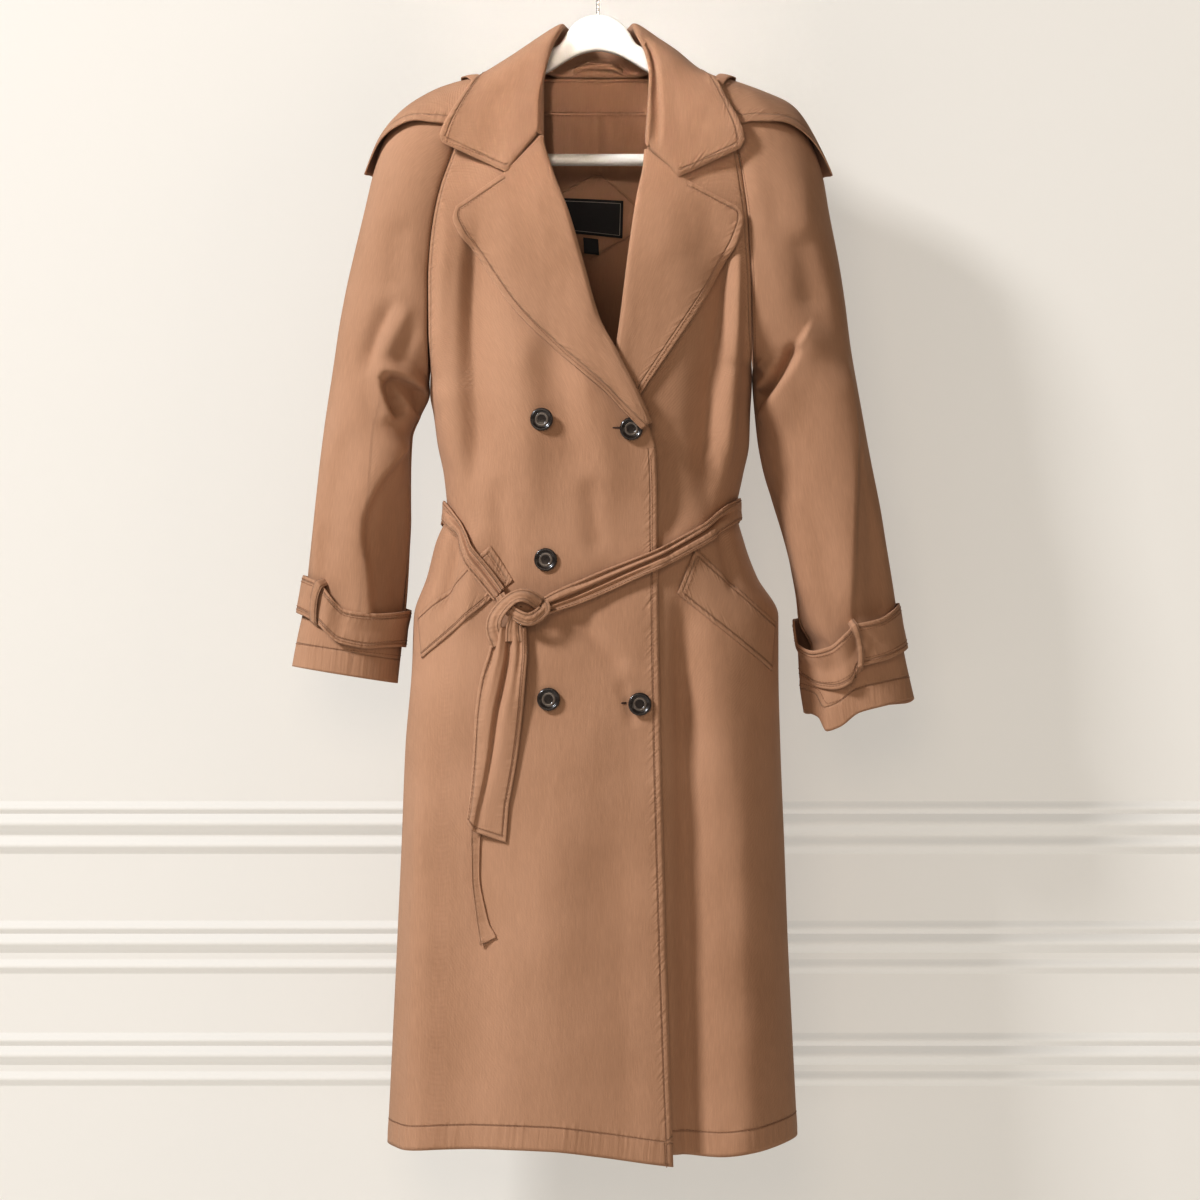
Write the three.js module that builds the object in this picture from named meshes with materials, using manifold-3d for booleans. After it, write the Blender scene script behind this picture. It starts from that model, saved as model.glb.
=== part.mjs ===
// A double-breasted trench coat hanging on a wooden hanger, in millimetres, +Z up.
// The origin is the inner top of the hook, where it rests on a rod; -Y is the front of the coat.
// "right" and "left" are the wearer's: right is -X. The hollows stay open: neck, hem, cuffs.
import * as THREE from 'three';
import Module from 'manifold-3d';

const wasm = await Module();
wasm.setup();

// Driving sizes
const CLOTH = 1.6; // one layer of cloth
const BAND = 2.4; // a strip sewn double: belt at the back, cuff straps
const COLLAR_CLOTH = 2;
const BELT_CLOTH = 3; // belt in front, folded along its length
const TRIM = 1.0; // labels and facings inside the neck
const SEAM_GAP = 0.3; // between two pieces that are sewn together
const LIE_GAP = 0.8; // between a piece and the panel that it lies on
const BODY_POWER = 2.6; // how square the body's rounded section is
const LAPEL_RISE = 4.6; // visible face of a lapel above the front that it lies on
const LAPEL_OPEN = 8.4; // the same at the end of the roll, over the button
const OVERLAP_RISE = 3; // over front above the under front
const ROLL_RISE = 5.2; // more where it lies on the other lapel
const BUTTON_RADIUS = 12;
const HANGER_THICK = 14;
const BAR_RADIUS = 6.5;
const HOOK_WIRE = 1.75;
const HOOK_RADIUS = 20;
const FRONT_COLUMNS = 11; // facets across each front, the back and half a sleeve
const BACK_COLUMNS = 14;
const SLEEVE_HALF = 5;
const ARMPIT_ROW = 11; // sleeve rows above this one run from the raglan seam

// Sleeves, a row for each section from the neck to the cuff: the inner end is the raglan seam and
// then the underarm, the outer end is the shoulder ridge and then the sleeve's outer fold. front
// and back are the section's half depths; the seam columns are the raglan seam's depths.
const SLEEVES = {
  right: {
    sign: -1,
    rows: [
      { inX: 72, inZ: -139, outX: 56, outZ: -110, front: 28.2, back: 30.2, seamFront: 28, seamBack: 30 },
      { inX: 103, inZ: -153, outX: 87, outZ: -126, front: 33.4, back: 36.4, seamFront: 33, seamBack: 36 },
      { inX: 129, inZ: -178, outX: 118, outZ: -143, front: 39, back: 42.5, seamFront: 38, seamBack: 42 },
      { inX: 147, inZ: -207, outX: 150, outZ: -152, front: 43, back: 47, seamFront: 42, seamBack: 46 },
      { inX: 157, inZ: -234, outX: 178, outZ: -164, front: 47, back: 51, seamFront: 45, seamBack: 50 },
      { inX: 166, inZ: -260, outX: 203, outZ: -180, front: 50, back: 54, seamFront: 48, seamBack: 53 },
      { inX: 173, inZ: -292, outX: 226, outZ: -208, front: 53, back: 57, seamFront: 51, seamBack: 55 },
      { inX: 177, inZ: -324, outX: 238, outZ: -243, front: 55, back: 58, seamFront: 53, seamBack: 56 },
      { inX: 179, inZ: -360, outX: 249, outZ: -287, front: 56, back: 58, seamFront: 53, seamBack: 55 },
      { inX: 179, inZ: -413, outX: 260, outZ: -338, front: 55, back: 56, seamFront: 49, seamBack: 50 },
      { inX: 178, inZ: -448, outX: 268, outZ: -375, front: 52, back: 53, seamFront: 34, seamBack: 34 },
      { inX: 178, inZ: -476, outX: 275, outZ: -410, front: 48, back: 48, seamFront: 0, seamBack: 0 },
      { inX: 188, inZ: -500, outX: 283, outZ: -465, front: 45, back: 45, seamFront: 0, seamBack: 0 },
      { inX: 197, inZ: -525, outX: 290, outZ: -515, front: 43, back: 42, seamFront: 0, seamBack: 0 },
      { inX: 198, inZ: -560, outX: 296, outZ: -560, front: 41, back: 40, seamFront: 0, seamBack: 0 },
      { inX: 198, inZ: -605, outX: 301, outZ: -610, front: 40, back: 38, seamFront: 0, seamBack: 0 },
      { inX: 201, inZ: -650, outX: 306, outZ: -655, front: 39, back: 37, seamFront: 0, seamBack: 0 },
      { inX: 204, inZ: -695, outX: 311, outZ: -695, front: 38, back: 37, seamFront: 0, seamBack: 0 },
      { inX: 208, inZ: -740, outX: 318, outZ: -730, front: 38, back: 37, seamFront: 0, seamBack: 0 },
      { inX: 213, inZ: -783, outX: 324, outZ: -765, front: 38, back: 37, seamFront: 0, seamBack: 0 },
    ],
  },
  left: {
    sign: 1,
    rows: [
      { inX: 72, inZ: -139, outX: 56, outZ: -110, front: 28.2, back: 30.2, seamFront: 28, seamBack: 30 },
      { inX: 107, inZ: -153, outX: 87, outZ: -126, front: 33.4, back: 36.4, seamFront: 33, seamBack: 36 },
      { inX: 130, inZ: -178, outX: 118, outZ: -143, front: 39, back: 42.5, seamFront: 38, seamBack: 42 },
      { inX: 142, inZ: -207, outX: 150, outZ: -152, front: 43, back: 47, seamFront: 42, seamBack: 46 },
      { inX: 148, inZ: -229, outX: 178, outZ: -164, front: 47, back: 51, seamFront: 45, seamBack: 50 },
      { inX: 153, inZ: -259, outX: 203, outZ: -180, front: 50, back: 54, seamFront: 48, seamBack: 53 },
      { inX: 157, inZ: -291, outX: 222, outZ: -208, front: 53, back: 57, seamFront: 51, seamBack: 55 },
      { inX: 159, inZ: -324, outX: 237, outZ: -243, front: 55, back: 58, seamFront: 53, seamBack: 56 },
      { inX: 161, inZ: -360, outX: 246, outZ: -287, front: 56, back: 58, seamFront: 53, seamBack: 55 },
      { inX: 162, inZ: -408, outX: 256, outZ: -340, front: 55, back: 56, seamFront: 49, seamBack: 50 },
      { inX: 163, inZ: -438, outX: 262, outZ: -380, front: 52, back: 53, seamFront: 34, seamBack: 34 },
      { inX: 163, inZ: -460, outX: 268, outZ: -425, front: 48, back: 48, seamFront: 0, seamBack: 0 },
      { inX: 168, inZ: -515, outX: 281, outZ: -500, front: 46, back: 45, seamFront: 0, seamBack: 0 },
      { inX: 175, inZ: -555, outX: 290, outZ: -550, front: 44, back: 43, seamFront: 0, seamBack: 0 },
      { inX: 185, inZ: -592, outX: 298, outZ: -595, front: 42, back: 41, seamFront: 0, seamBack: 0 },
      { inX: 194, inZ: -625, outX: 304, outZ: -635, front: 41, back: 39, seamFront: 0, seamBack: 0 },
      { inX: 203, inZ: -665, outX: 311, outZ: -675, front: 40, back: 38, seamFront: 0, seamBack: 0 },
      { inX: 211, inZ: -710, outX: 318, outZ: -715, front: 39, back: 38, seamFront: 0, seamBack: 0 },
      { inX: 212, inZ: -760, outX: 326, outZ: -757, front: 39, back: 38, seamFront: 0, seamBack: 0 },
      { inX: 218, inZ: -812, outX: 335, outZ: -799, front: 39, back: 38, seamFront: 0, seamBack: 0 },
    ],
  },
};

// Body below the armpits, a row for each level; the last row is the hem at the side seams.
const BODY_LEVELS = [
  { z: -500, right: 174, left: 161 },
  { z: -530, right: 170, left: 160 },
  { z: -565, right: 163, left: 153 },
  { z: -600, right: 160, left: 147 },
  { z: -635, right: 172, left: 155 },
  { z: -670, right: 181, left: 168 },
  { z: -712, right: 195, left: 191 },
  { z: -765, right: 197, left: 191 },
  { z: -850, right: 204, left: 193 },
  { z: -950, right: 208, left: 197 },
  { z: -1060, right: 213, left: 201 },
  { z: -1165, right: 218, left: 206 },
  { z: -1266, right: 223, left: 211 },
];

// Depth of the body in front of and behind the hanger's plane.
const BODY_DEPTHS = [
  { z: -139, front: 33, back: 34 },
  { z: -153, front: 37, back: 38 },
  { z: -178, front: 43, back: 45 },
  { z: -207, front: 50, back: 52 },
  { z: -234, front: 56, back: 57 },
  { z: -260, front: 62, back: 61 },
  { z: -292, front: 68, back: 64 },
  { z: -324, front: 72, back: 66 },
  { z: -360, front: 76, back: 68 },
  { z: -413, front: 82, back: 70 },
  { z: -476, front: 88, back: 72 },
  { z: -530, front: 88, back: 72 },
  { z: -565, front: 87, back: 70 },
  { z: -600, front: 86, back: 68 },
  { z: -635, front: 90, back: 72 },
  { z: -670, front: 94, back: 76 },
  { z: -712, front: 97, back: 79 },
  { z: -850, front: 104, back: 84 },
  { z: -1290, front: 106, back: 88 },
];

// Front edge of each front: neckline, roll line, then the buttoned edge.
const FRONT_EDGES = {
  over: [
    { z: -139, x: -60 },
    { z: -208, x: -60 },
    { z: -240, x: -52 },
    { z: -291, x: -33 },
    { z: -343, x: -18 },
    { z: -402, x: -1 },
    { z: -440, x: 19 },
    { z: -486, x: 40 },
    { z: -517, x: 53 },
    { z: -540, x: 59 },
    { z: -612, x: 61 },
    { z: -800, x: 64 },
    { z: -1006, x: 69 },
    { z: -1290, x: 79 },
  ],
  under: [
    { z: -139, x: 57 },
    { z: -213, x: 52 },
    { z: -240, x: 50 },
    { z: -274, x: 43 },
    { z: -335, x: 34 },
    { z: -407, x: 25 },
    { z: -438, x: 20 },
    { z: -483, x: 5 },
    { z: -540, x: -20 },
    { z: -600, x: -45 },
    { z: -650, x: -62 },
    { z: -1290, x: -62 },
  ],
};

// Hems, from side to side.
const HEMS = {
  over: [
    { x: -223, z: -1268 },
    { x: -200, z: -1270 },
    { x: -165, z: -1268 },
    { x: -100, z: -1266 },
    { x: -50, z: -1267 },
    { x: 2, z: -1273 },
    { x: 44, z: -1279 },
    { x: 80, z: -1284 },
  ],
  under: [
    { x: -62, z: -1270 },
    { x: 82, z: -1272 },
    { x: 127, z: -1275 },
    { x: 158, z: -1271 },
    { x: 191, z: -1265 },
    { x: 211, z: -1260 },
  ],
  back: [
    { x: -223, z: -1268 },
    { x: -110, z: -1264 },
    { x: 0, z: -1266 },
    { x: 110, z: -1262 },
    { x: 211, z: -1260 },
  ],
};
const HEM_START = -850; // the rows below this level follow the hem more and more

// Folds as strokes on a panel: a positive depth is a ridge, a negative one a valley.
const FRONT_FOLDS = [
  { x0: -160, z0: -265, x1: -158, z1: -600, width: 12, depth: 5 },
  { x0: -124, z0: -275, x1: -125, z1: -600, width: 13, depth: -9 },
  { x0: -76, z0: -395, x1: -66, z1: -670, width: 22, depth: 5 },
  { x0: 96, z0: -450, x1: 98, z1: -860, width: 20, depth: -6 },
  { x0: 104, z0: -760, x1: 108, z1: -1600, width: 24, depth: -7 },
  { x0: 160, z0: -270, x1: 139, z1: -605, width: 10, depth: 6 },
  { x0: -180, z0: -760, x1: -186, z1: -1600, width: 22, depth: 5 },
  { x0: -128, z0: -740, x1: -126, z1: -1600, width: 26, depth: -8 },
  { x0: -62, z0: -760, x1: -52, z1: -1600, width: 28, depth: 4 },
  { x0: 160, z0: -790, x1: 168, z1: -1600, width: 20, depth: 5 },
];
const BACK_FOLDS = [
  { x0: -120, z0: -330, x1: -118, z1: -590, width: 14, depth: -7 },
  { x0: -66, z0: -360, x1: -70, z1: -600, width: 20, depth: 5 },
  { x0: 8, z0: -380, x1: -4, z1: -600, width: 16, depth: -4 },
  { x0: 64, z0: -350, x1: 70, z1: -600, width: 20, depth: 5 },
  { x0: 118, z0: -330, x1: 112, z1: -590, width: 14, depth: -7 },
  { x0: -138, z0: -660, x1: -150, z1: -1600, width: 24, depth: -7 },
  { x0: -72, z0: -650, x1: -84, z1: -1600, width: 28, depth: 6 },
  { x0: -6, z0: -640, x1: -10, z1: -1600, width: 26, depth: -8 },
  { x0: 70, z0: -650, x1: 78, z1: -1600, width: 28, depth: 6 },
  { x0: 132, z0: -660, x1: 142, z1: -1600, width: 24, depth: -7 },
];

// Folds of a sleeve: along is the sleeve row, turn the angle round it (0 front, 90 outer fold).
const SLEEVE_FOLDS = {
  right: [
    { v0: 8.2, turn0: -8, v1: 10.8, turn1: 40, width: 14, depth: 7 },
    { v0: 9.4, turn0: -40, v1: 12.4, turn1: 34, width: 12, depth: -8 },
    { v0: 12, turn0: -60, v1: 15.5, turn1: 20, width: 12, depth: 5 },
    { v0: 5, turn0: 8, v1: 9.5, turn1: 20, width: 14, depth: -5 },
    { v0: 12.5, turn0: 62, v1: 16.5, turn1: 48, width: 14, depth: -4 },
  ],
  left: [
    { v0: 8.4, turn0: -6, v1: 11.6, turn1: 52, width: 14, depth: 7 },
    { v0: 9.6, turn0: -30, v1: 12.2, turn1: 20, width: 12, depth: -10 },
    { v0: 8, turn0: 40, v1: 15.5, turn1: 22, width: 14, depth: 6 },
    { v0: 5, turn0: 8, v1: 9.5, turn1: 22, width: 14, depth: -5 },
    { v0: 11.5, turn0: 70, v1: 16.5, turn1: 60, width: 16, depth: -4 },
  ],
};
const ROW_LENGTH = 45; // mean length of a sleeve row, for the strokes
const TURN_LENGTH = 0.9; // cloth for each degree round the sleeve

// Storm cape: turn is where its front edge lies on the sleeve's section, free is how far its
// shoulder stands off, hang how far the rest does.
const CAPE_ROWS = [
  { row: 0.3, turn: 70, free: 0, hang: 0 },
  { row: 1, turn: 56, free: 1.2, hang: 0.6 },
  { row: 2, turn: 34, free: 3.4, hang: 1.8 },
  { row: 3, turn: 19, free: 3.4, hang: 2.2 },
  { row: 4, turn: 33, free: 3.8, hang: 2.4 },
  { row: 5, turn: 52, free: 5, hang: 3 },
  { row: 6, turn: 70, free: 8, hang: 4.5 },
  { row: 7, turn: 86, free: 11, hang: 6 },
];
const CAPE_FRONT = 4; // facets across the part in front of the shoulder ridge
const CAPE_RISE = CLOTH + LIE_GAP;

// Collar, a station for each row: where it is sewn to the neck, its crest and its outer edge.
// sag lowers the fall's line by that much at the notch.
const COLLAR = {
  right: [
    { neck: [57, -47, -206], crest: [63, -56, -206], edge: [169, -57, -213], sag: 39 },
    { neck: [57, -42, -178], crest: [63.5, -53, -176], edge: [162, -59, -196], sag: 16 },
    { neck: [57, -31, -146], crest: [57, -42, -139], edge: [149, -54, -173], sag: 4 },
    { neck: [58, -22, -124], crest: [48, -27, -108], edge: [136, -40, -153], sag: 0 },
    { neck: [55.5, -12.5, -111], crest: [40, -14, -92], edge: [128, -20, -139], sag: 0 },
    { neck: [52.5, 0, -103.5], crest: [36, 0, -84.5], edge: [122, 4, -135], sag: 0 },
    { neck: [56, 14, -113], crest: [32, 17, -86.5], edge: [113, 31, -139], sag: 0 },
    { neck: [57, 26, -131], crest: [27, 30, -89], edge: [98, 53.5, -153], sag: 0 },
    { neck: [40, 31, -137.6], crest: [19, 37, -90], edge: [68, 60, -170], sag: 0 },
    { neck: [20, 32.6, -137.6], crest: [9.5, 39, -91], edge: [33, 64, -178], sag: 0 },
  ],
  centre: { neck: [0, 33, -137.6], crest: [0, 40, -92], edge: [0, 65, -181], sag: 0 },
  left: [
    { neck: [49, -49, -214], crest: [52.5, -58, -220], edge: [155, -57, -219], sag: 31 },
    { neck: [51.4, -42, -180], crest: [55, -53, -182], edge: [152, -59, -203], sag: 13 },
    { neck: [53.4, -31, -146], crest: [55, -42, -148], edge: [142, -54, -180], sag: 4 },
    { neck: [56.5, -22, -124], crest: [49, -27, -116], edge: [131, -40, -159], sag: 0 },
    { neck: [55.5, -12.5, -111], crest: [41, -14, -96], edge: [121, -20, -141], sag: 0 },
    { neck: [52.5, 0, -103.5], crest: [36, 0, -84.5], edge: [116, 4, -136], sag: 0 },
    { neck: [56, 14, -113], crest: [32, 17, -86.5], edge: [108, 31, -136.5], sag: 0 },
    { neck: [57, 26, -131], crest: [27, 30, -89], edge: [95, 54.5, -151], sag: 0 },
    { neck: [40, 31, -137.6], crest: [19, 37, -90], edge: [67, 60, -170], sag: 0 },
    { neck: [20, 32.6, -137.6], crest: [9.5, 39, -91], edge: [33, 64, -178], sag: 0 },
  ],
};
const COLLAR_RISE = 4.6; // least height of the fall above the fronts
const NOTCH_AT = 0.31; // place of the notch along the collar's end
const CREST_ROUND = 8; // how far the crest's roll reaches into stand and fall

// Lapels, a station for each row from the gorge down the roll line.
const LAPELS = {
  right: [
    { rollZ: -209.5, edgeX: -148, edgeZ: -284, sag: 8 },
    { rollZ: -232, edgeX: -151, edgeZ: -295, sag: 0 },
    { rollZ: -260, edgeX: -145, edgeZ: -310, sag: 0 },
    { rollZ: -300, edgeX: -127, edgeZ: -336, sag: 0 },
    { rollZ: -343, edgeX: -90, edgeZ: -388, sag: 0 },
    { rollZ: -397, edgeX: -42, edgeZ: -436, sag: 0 },
    { rollZ: -440, edgeX: 6, edgeZ: -477, sag: 0 },
    { rollZ: -477, edgeX: 28, edgeZ: -501, sag: 0 },
    { rollZ: -512, edgeX: 44, edgeZ: -518, sag: 0 },
  ],
  left: [
    { rollZ: -224.5, edgeX: 146, edgeZ: -285, sag: 6 },
    { rollZ: -236, edgeX: 151, edgeZ: -295, sag: 0 },
    { rollZ: -266, edgeX: 145, edgeZ: -318, sag: 0 },
    { rollZ: -307, edgeX: 126, edgeZ: -357, sag: 0 },
    { rollZ: -358, edgeX: 90, edgeZ: -412, sag: 0 },
    { rollZ: -412, edgeX: 54, edgeZ: -465, sag: 0 },
    { rollZ: -452, edgeX: 38, edgeZ: -488, sag: 0 },
    { rollZ: -479, edgeX: 18, edgeZ: -504, sag: 0 },
  ],
};
const LAPEL_NOTCH_AT = 0.4;

// Pocket welts, each a four-sided strip from the side seam up to its inner end.
const WELTS = {
  right: {
    high: { outer: [-187, -711], inner: [-112, -638] },
    low: { outer: [-184, -756], inner: [-88, -675] },
  },
  left: {
    high: { outer: [184, -718], inner: [101, -641] },
    low: { outer: [181, -769], inner: [83, -688] },
  },
};
// Rise of a welt's corners: its upper edge is the pocket's mouth and stands off at the side.
const WELT_RISE = {
  high: { outer: 5, inner: 3.4 },
  low: { outer: 4.8, inner: 3 },
};

// From the thread that holds a button up over its rim to its sunk middle.
const BUTTON_PROFILE = [
  { radius: 0, height: 0 },
  { radius: 2.2, height: 0 },
  { radius: 2.6, height: 1.2 },
  { radius: BUTTON_RADIUS - 1, height: 1.4 },
  { radius: BUTTON_RADIUS, height: 3.4 },
  { radius: BUTTON_RADIUS - 2.6, height: 4.4 },
  { radius: 7, height: 3 },
  { radius: 0, height: 3 },
];
const BUTTONS = [
  { x: -58, z: -507 },
  { x: 34, z: -517 },
  { x: -54, z: -653 },
  { x: -51, z: -798 },
  { x: 43, z: -803 },
];

// Belt: each stretch lies at its own height above the coat's front.
const BELT_RIGHT = [
  { x: -150.6, z: -606, half: 13, lean: 1, rise: 4.4 },
  { x: -141, z: -628, half: 12, lean: 26, rise: 5.6 },
  { x: -130, z: -649, half: 11.5, lean: 34, rise: 7.5 },
  { x: -116, z: -668, half: 11.5, lean: 38, rise: 10 },
  { x: -103, z: -685, half: 10.5, lean: 38, rise: 12 },
];
const BELT_LEFT = [
  { x: -52, z: -700, half: 10.5, lean: -18, rise: 12 },
  { x: -22, z: -689, half: 11, lean: -22, rise: 9 },
  { x: 6, z: -677, half: 11.5, lean: -24, rise: 7.6 },
  { x: 36, z: -664, half: 11.5, lean: -25, rise: 7.4 },
  { x: 66, z: -650, half: 11.5, lean: -25, rise: 8.4 },
  { x: 90, z: -637, half: 11.5, lean: -27, rise: 8 },
  { x: 112, z: -624, half: 11.5, lean: -26, rise: 6.6 },
  { x: 127, z: -612, half: 12, lean: -20, rise: 5.4 },
  { x: 138.4, z: -601, half: 13, lean: -1, rise: 4.4 },
];
const BELT_WAIST = {
  rightZ: -606,
  leftZ: -601,
  backZ: -602,
  half: 18,
  endHalf: 13,
  rise: 3.8,
  endTurn: 21, // degrees that its ends reach past the side seams
};
const KNOT_GROOVE = { depth: 0.1, at: 0.1, width: 0.16 }; // between the wrapped bands
const KNOT = { x: -77, z: -700, rise: 15, halfX: 25.3, halfY: 9.5, halfZ: 20, tilt: 16 };
const TAIL_WIDE = [
  { z: -723, x0: -106, fold: -93, x1: -75, rise: 12 },
  { z: -749, x0: -112, fold: -94, x1: -72, rise: 10 },
  { z: -780, x0: -121, fold: -98, x1: -74, rise: 9 },
  { z: -812, x0: -125, fold: -102, x1: -77, rise: 8.5 },
  { z: -860, x0: -128, fold: -108, x1: -83, rise: 8 },
  { z: -900, x0: -131, fold: -116, x1: -90, rise: 9 },
  { z: -930, x0: -136, fold: -124, x1: -95, rise: 9.6 },
];
const TAIL_DROP = 22; // the wide tail's end slants down to its inner side
const TAIL_NARROW = [
  { z: -924, x0: -131, x1: -119, rise: 4.6 },
  { z: -980, x0: -132, x1: -124, rise: 4 },
  { z: -1020, x0: -128, x1: -117, rise: 3.7 },
  { z: -1054, x0: -123, x1: -106, rise: 3.7 },
];

// Cuff straps and loops: the ends of each section line in the front view, then the rise.
const CUFF_STRAPS = {
  right: {
    top: { inner: [204, -704], outer: [312, -672] },
    low: { inner: [207, -744], outer: [318, -709] },
    bulge: 3,
    loopTurn: 46,
  },
  left: {
    top: { inner: [211, -719], outer: [318, -698] },
    low: { inner: [212, -776], outer: [325, -747] },
    bulge: 4,
    loopTurn: 6,
  },
};
const STRAP_RISE = BAND + 0.8;
const STRAP_HALF = 10; // facets of half a strap
const LOOP_TURN = 0.1; // half of a loop's width, as an angle round the cuff
const LOOP_LEVELS = [
  { down: -0.22, rise: -1.6 },
  { down: -0.1, rise: 0 },
  { down: 0.02, rise: BAND + 0.4 },
  { down: 0.5, rise: BAND + 0.8 },
  { down: 0.98, rise: BAND + 0.4 },
  { down: 1.1, rise: 0 },
  { down: 1.22, rise: -1.6 },
];

// Inside of the back: facing, patch and labels, as levels with their two ends.
const NECK_FACING = [
  { z: -141, x0: -64, x1: 64 },
  { z: -152, x0: -66, x1: 66 },
  { z: -165, x0: -66, x1: 66 },
  { z: -178, x0: -60, x1: 60 },
];
const LABEL_PATCH = [
  { z: -237, x0: -4, x1: 4 },
  { z: -249, x0: -25, x1: 17 },
  { z: -261, x0: -46, x1: 31 },
  { z: -274, x0: -48, x1: 45 },
  { z: -302, x0: -54, x1: 42 },
  { z: -316, x0: -32, x1: 16 },
  { z: -330, x0: -11, x1: -5 },
];
const NECK_LABEL = [
  { z0: -264, z1: -267, x0: -40, x1: 27 },
  { z0: -301, z1: -307, x0: -34, x1: 26 },
];
const SIZE_TAG = [
  { z0: -306, z1: -308, x0: -16, x1: 0 },
  { z0: -323, z1: -325, x0: -15, x1: 1 },
];
const INSIDE_GAP = 0.6;
const INSIDE_RISE = -(CLOTH + INSIDE_GAP + TRIM); // the face of a piece on the back's inner face
const LABEL_RISE = INSIDE_RISE - INSIDE_GAP - TRIM; // and of a label on such a piece
const HANGER_LOOP = { halfWidth: 26, endZ: -130, topZ: -119, endY: 28.5, middleY: 26.6, height: 6 };

// Hanger: its shoulders run just under the ridge of the sleeves.
const HANGER_NECK = [
  { x: 0, z: -75 },
  { x: 13, z: -77 },
  { x: 25, z: -84 },
  { x: 33, z: -94 },
  { x: 41, z: -106 },
];
const HANGER_END = { x: 207, z: -195 };
const SHOULDER_ROWS = 6; // sleeve rows whose ridge the arm follows
const ARM_GAP = 1.2; // between the arm and the cloth on it
const BAR_HALF = 195;
const HANGER_LOW = [
  { x: 213, z: -237 },
  { x: BAR_HALF, z: -237 },
  { x: BAR_HALF, z: -212 },
  { x: 188, z: -202 },
  { x: 130, z: -172 },
  { x: 56, z: -138 },
  { x: 24, z: -118 },
  { x: 0, z: -112 },
];
const HANGER_BEVEL = 4;
const SHANK_DEPTH = 18; // of the hook's wire in the hanger
const HOOK_NECK = [
  { x: 0, z: -64 },
  { x: 0.4, z: -56 },
  { x: 4, z: -48.5 },
];
const HOOK_TURN = { from: -50, to: 205 };
const BAR_Z = -228.5;

const vector = (x, y, z) => new THREE.Vector3(x, y, z);
const mix = THREE.MathUtils.lerp;
const radians = THREE.MathUtils.degToRad;

// A soft step from 0 at one value to 1 at the other, which may be the lower one.
function ramp(from, to, value) {
  const t = THREE.MathUtils.clamp((value - from) / (to - from), 0, 1);
  return t * t * (3 - 2 * t);
}

// One column of a table as straight runs, so that what lies on a panel follows its facets.
function tableLine(table, along, column) {
  const rows = [...table].sort((a, b) => a[along] - b[along]);
  const last = rows.length - 1;
  return (at) => {
    if (at <= rows[0][along]) {
      return rows[0][column];
    }
    if (at >= rows[last][along]) {
      return rows[last][column];
    }
    const i = rows.findIndex((row) => row[along] >= at) - 1;
    const t = (at - rows[i][along]) / (rows[i + 1][along] - rows[i][along]);
    return mix(rows[i][column], rows[i + 1][column], t);
  };
}

// Height of all the strokes of a fold table at one place of the cloth.
function foldHeight(folds, x, z) {
  let height = 0;
  for (const fold of folds) {
    const dx = fold.x1 - fold.x0;
    const dz = fold.z1 - fold.z0;
    const length = Math.hypot(dx, dz);
    const along = ((x - fold.x0) * dx + (z - fold.z0) * dz) / length ** 2;
    const across = ((x - fold.x0) * dz - (z - fold.z0) * dx) / length;
    const ends = ramp(0, 0.25, along) * ramp(0, 0.25, 1 - along);
    height += fold.depth * ends * Math.exp(-((across / fold.width) ** 2));
  }
  return height;
}

// A cell of a cloth grid: the point p on its outer face and the direction n out of the cloth.
const cell = (p, n) => ({ p, n });

const bodySides = {};
for (const [name, sleeve] of Object.entries(SLEEVES)) {
  const below = BODY_LEVELS.map((row) => ({ inZ: row.z, inX: row[name] }));
  const above = sleeve.rows.slice(0, ARMPIT_ROW + 1);
  const numbered = sleeve.rows.map((row, i) => ({ ...row, row: i }));
  bodySides[name] = {
    sign: sleeve.sign,
    seamX: tableLine([...above, ...below], 'inZ', 'inX'),
    seamFront: tableLine(sleeve.rows, 'inZ', 'seamFront'),
    seamBack: tableLine(sleeve.rows, 'inZ', 'seamBack'),
    rowZ: tableLine(numbered, 'row', 'inZ'),
    sleeveInX: tableLine(sleeve.rows, 'inZ', 'inX'),
    outX: tableLine(numbered, 'row', 'outX'),
    outZ: tableLine(numbered, 'row', 'outZ'),
    front: tableLine(numbered, 'row', 'front'),
    back: tableLine(numbered, 'row', 'back'),
    lastRow: sleeve.rows.length - 1,
    folds: SLEEVE_FOLDS[name].map((fold) => ({
      x0: fold.turn0 * TURN_LENGTH,
      z0: fold.v0 * ROW_LENGTH,
      x1: fold.turn1 * TURN_LENGTH,
      z1: fold.v1 * ROW_LENGTH,
      width: fold.width,
      depth: fold.depth,
    })),
  };
}
const bodyDepth = {
  front: tableLine(BODY_DEPTHS, 'z', 'front'),
  back: tableLine(BODY_DEPTHS, 'z', 'back'),
};
const edgeX = {
  over: tableLine(FRONT_EDGES.over, 'z', 'x'),
  under: tableLine(FRONT_EDGES.under, 'z', 'x'),
};
const hemZ = {
  over: tableLine(HEMS.over, 'x', 'z'),
  under: tableLine(HEMS.under, 'x', 'z'),
  back: tableLine(HEMS.back, 'x', 'z'),
};
const HEM_LEVEL = BODY_LEVELS[BODY_LEVELS.length - 1].z;
const BODY_ROWS = ARMPIT_ROW + BODY_LEVELS.length;

// Level of a body row on one side: raglan rows first, then the levels below the armpit.
function bodyRowZ(row, side) {
  if (row <= ARMPIT_ROW) {
    return side.rowZ(row);
  }
  const at = row - ARMPIT_ROW - 1;
  const i = Math.floor(at);
  const from = i < 0 ? side.rowZ(ARMPIT_ROW) : BODY_LEVELS[i].z;
  const to = BODY_LEVELS[Math.min(i + 1, BODY_LEVELS.length - 1)].z;
  return mix(from, to, at - i);
}

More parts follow.
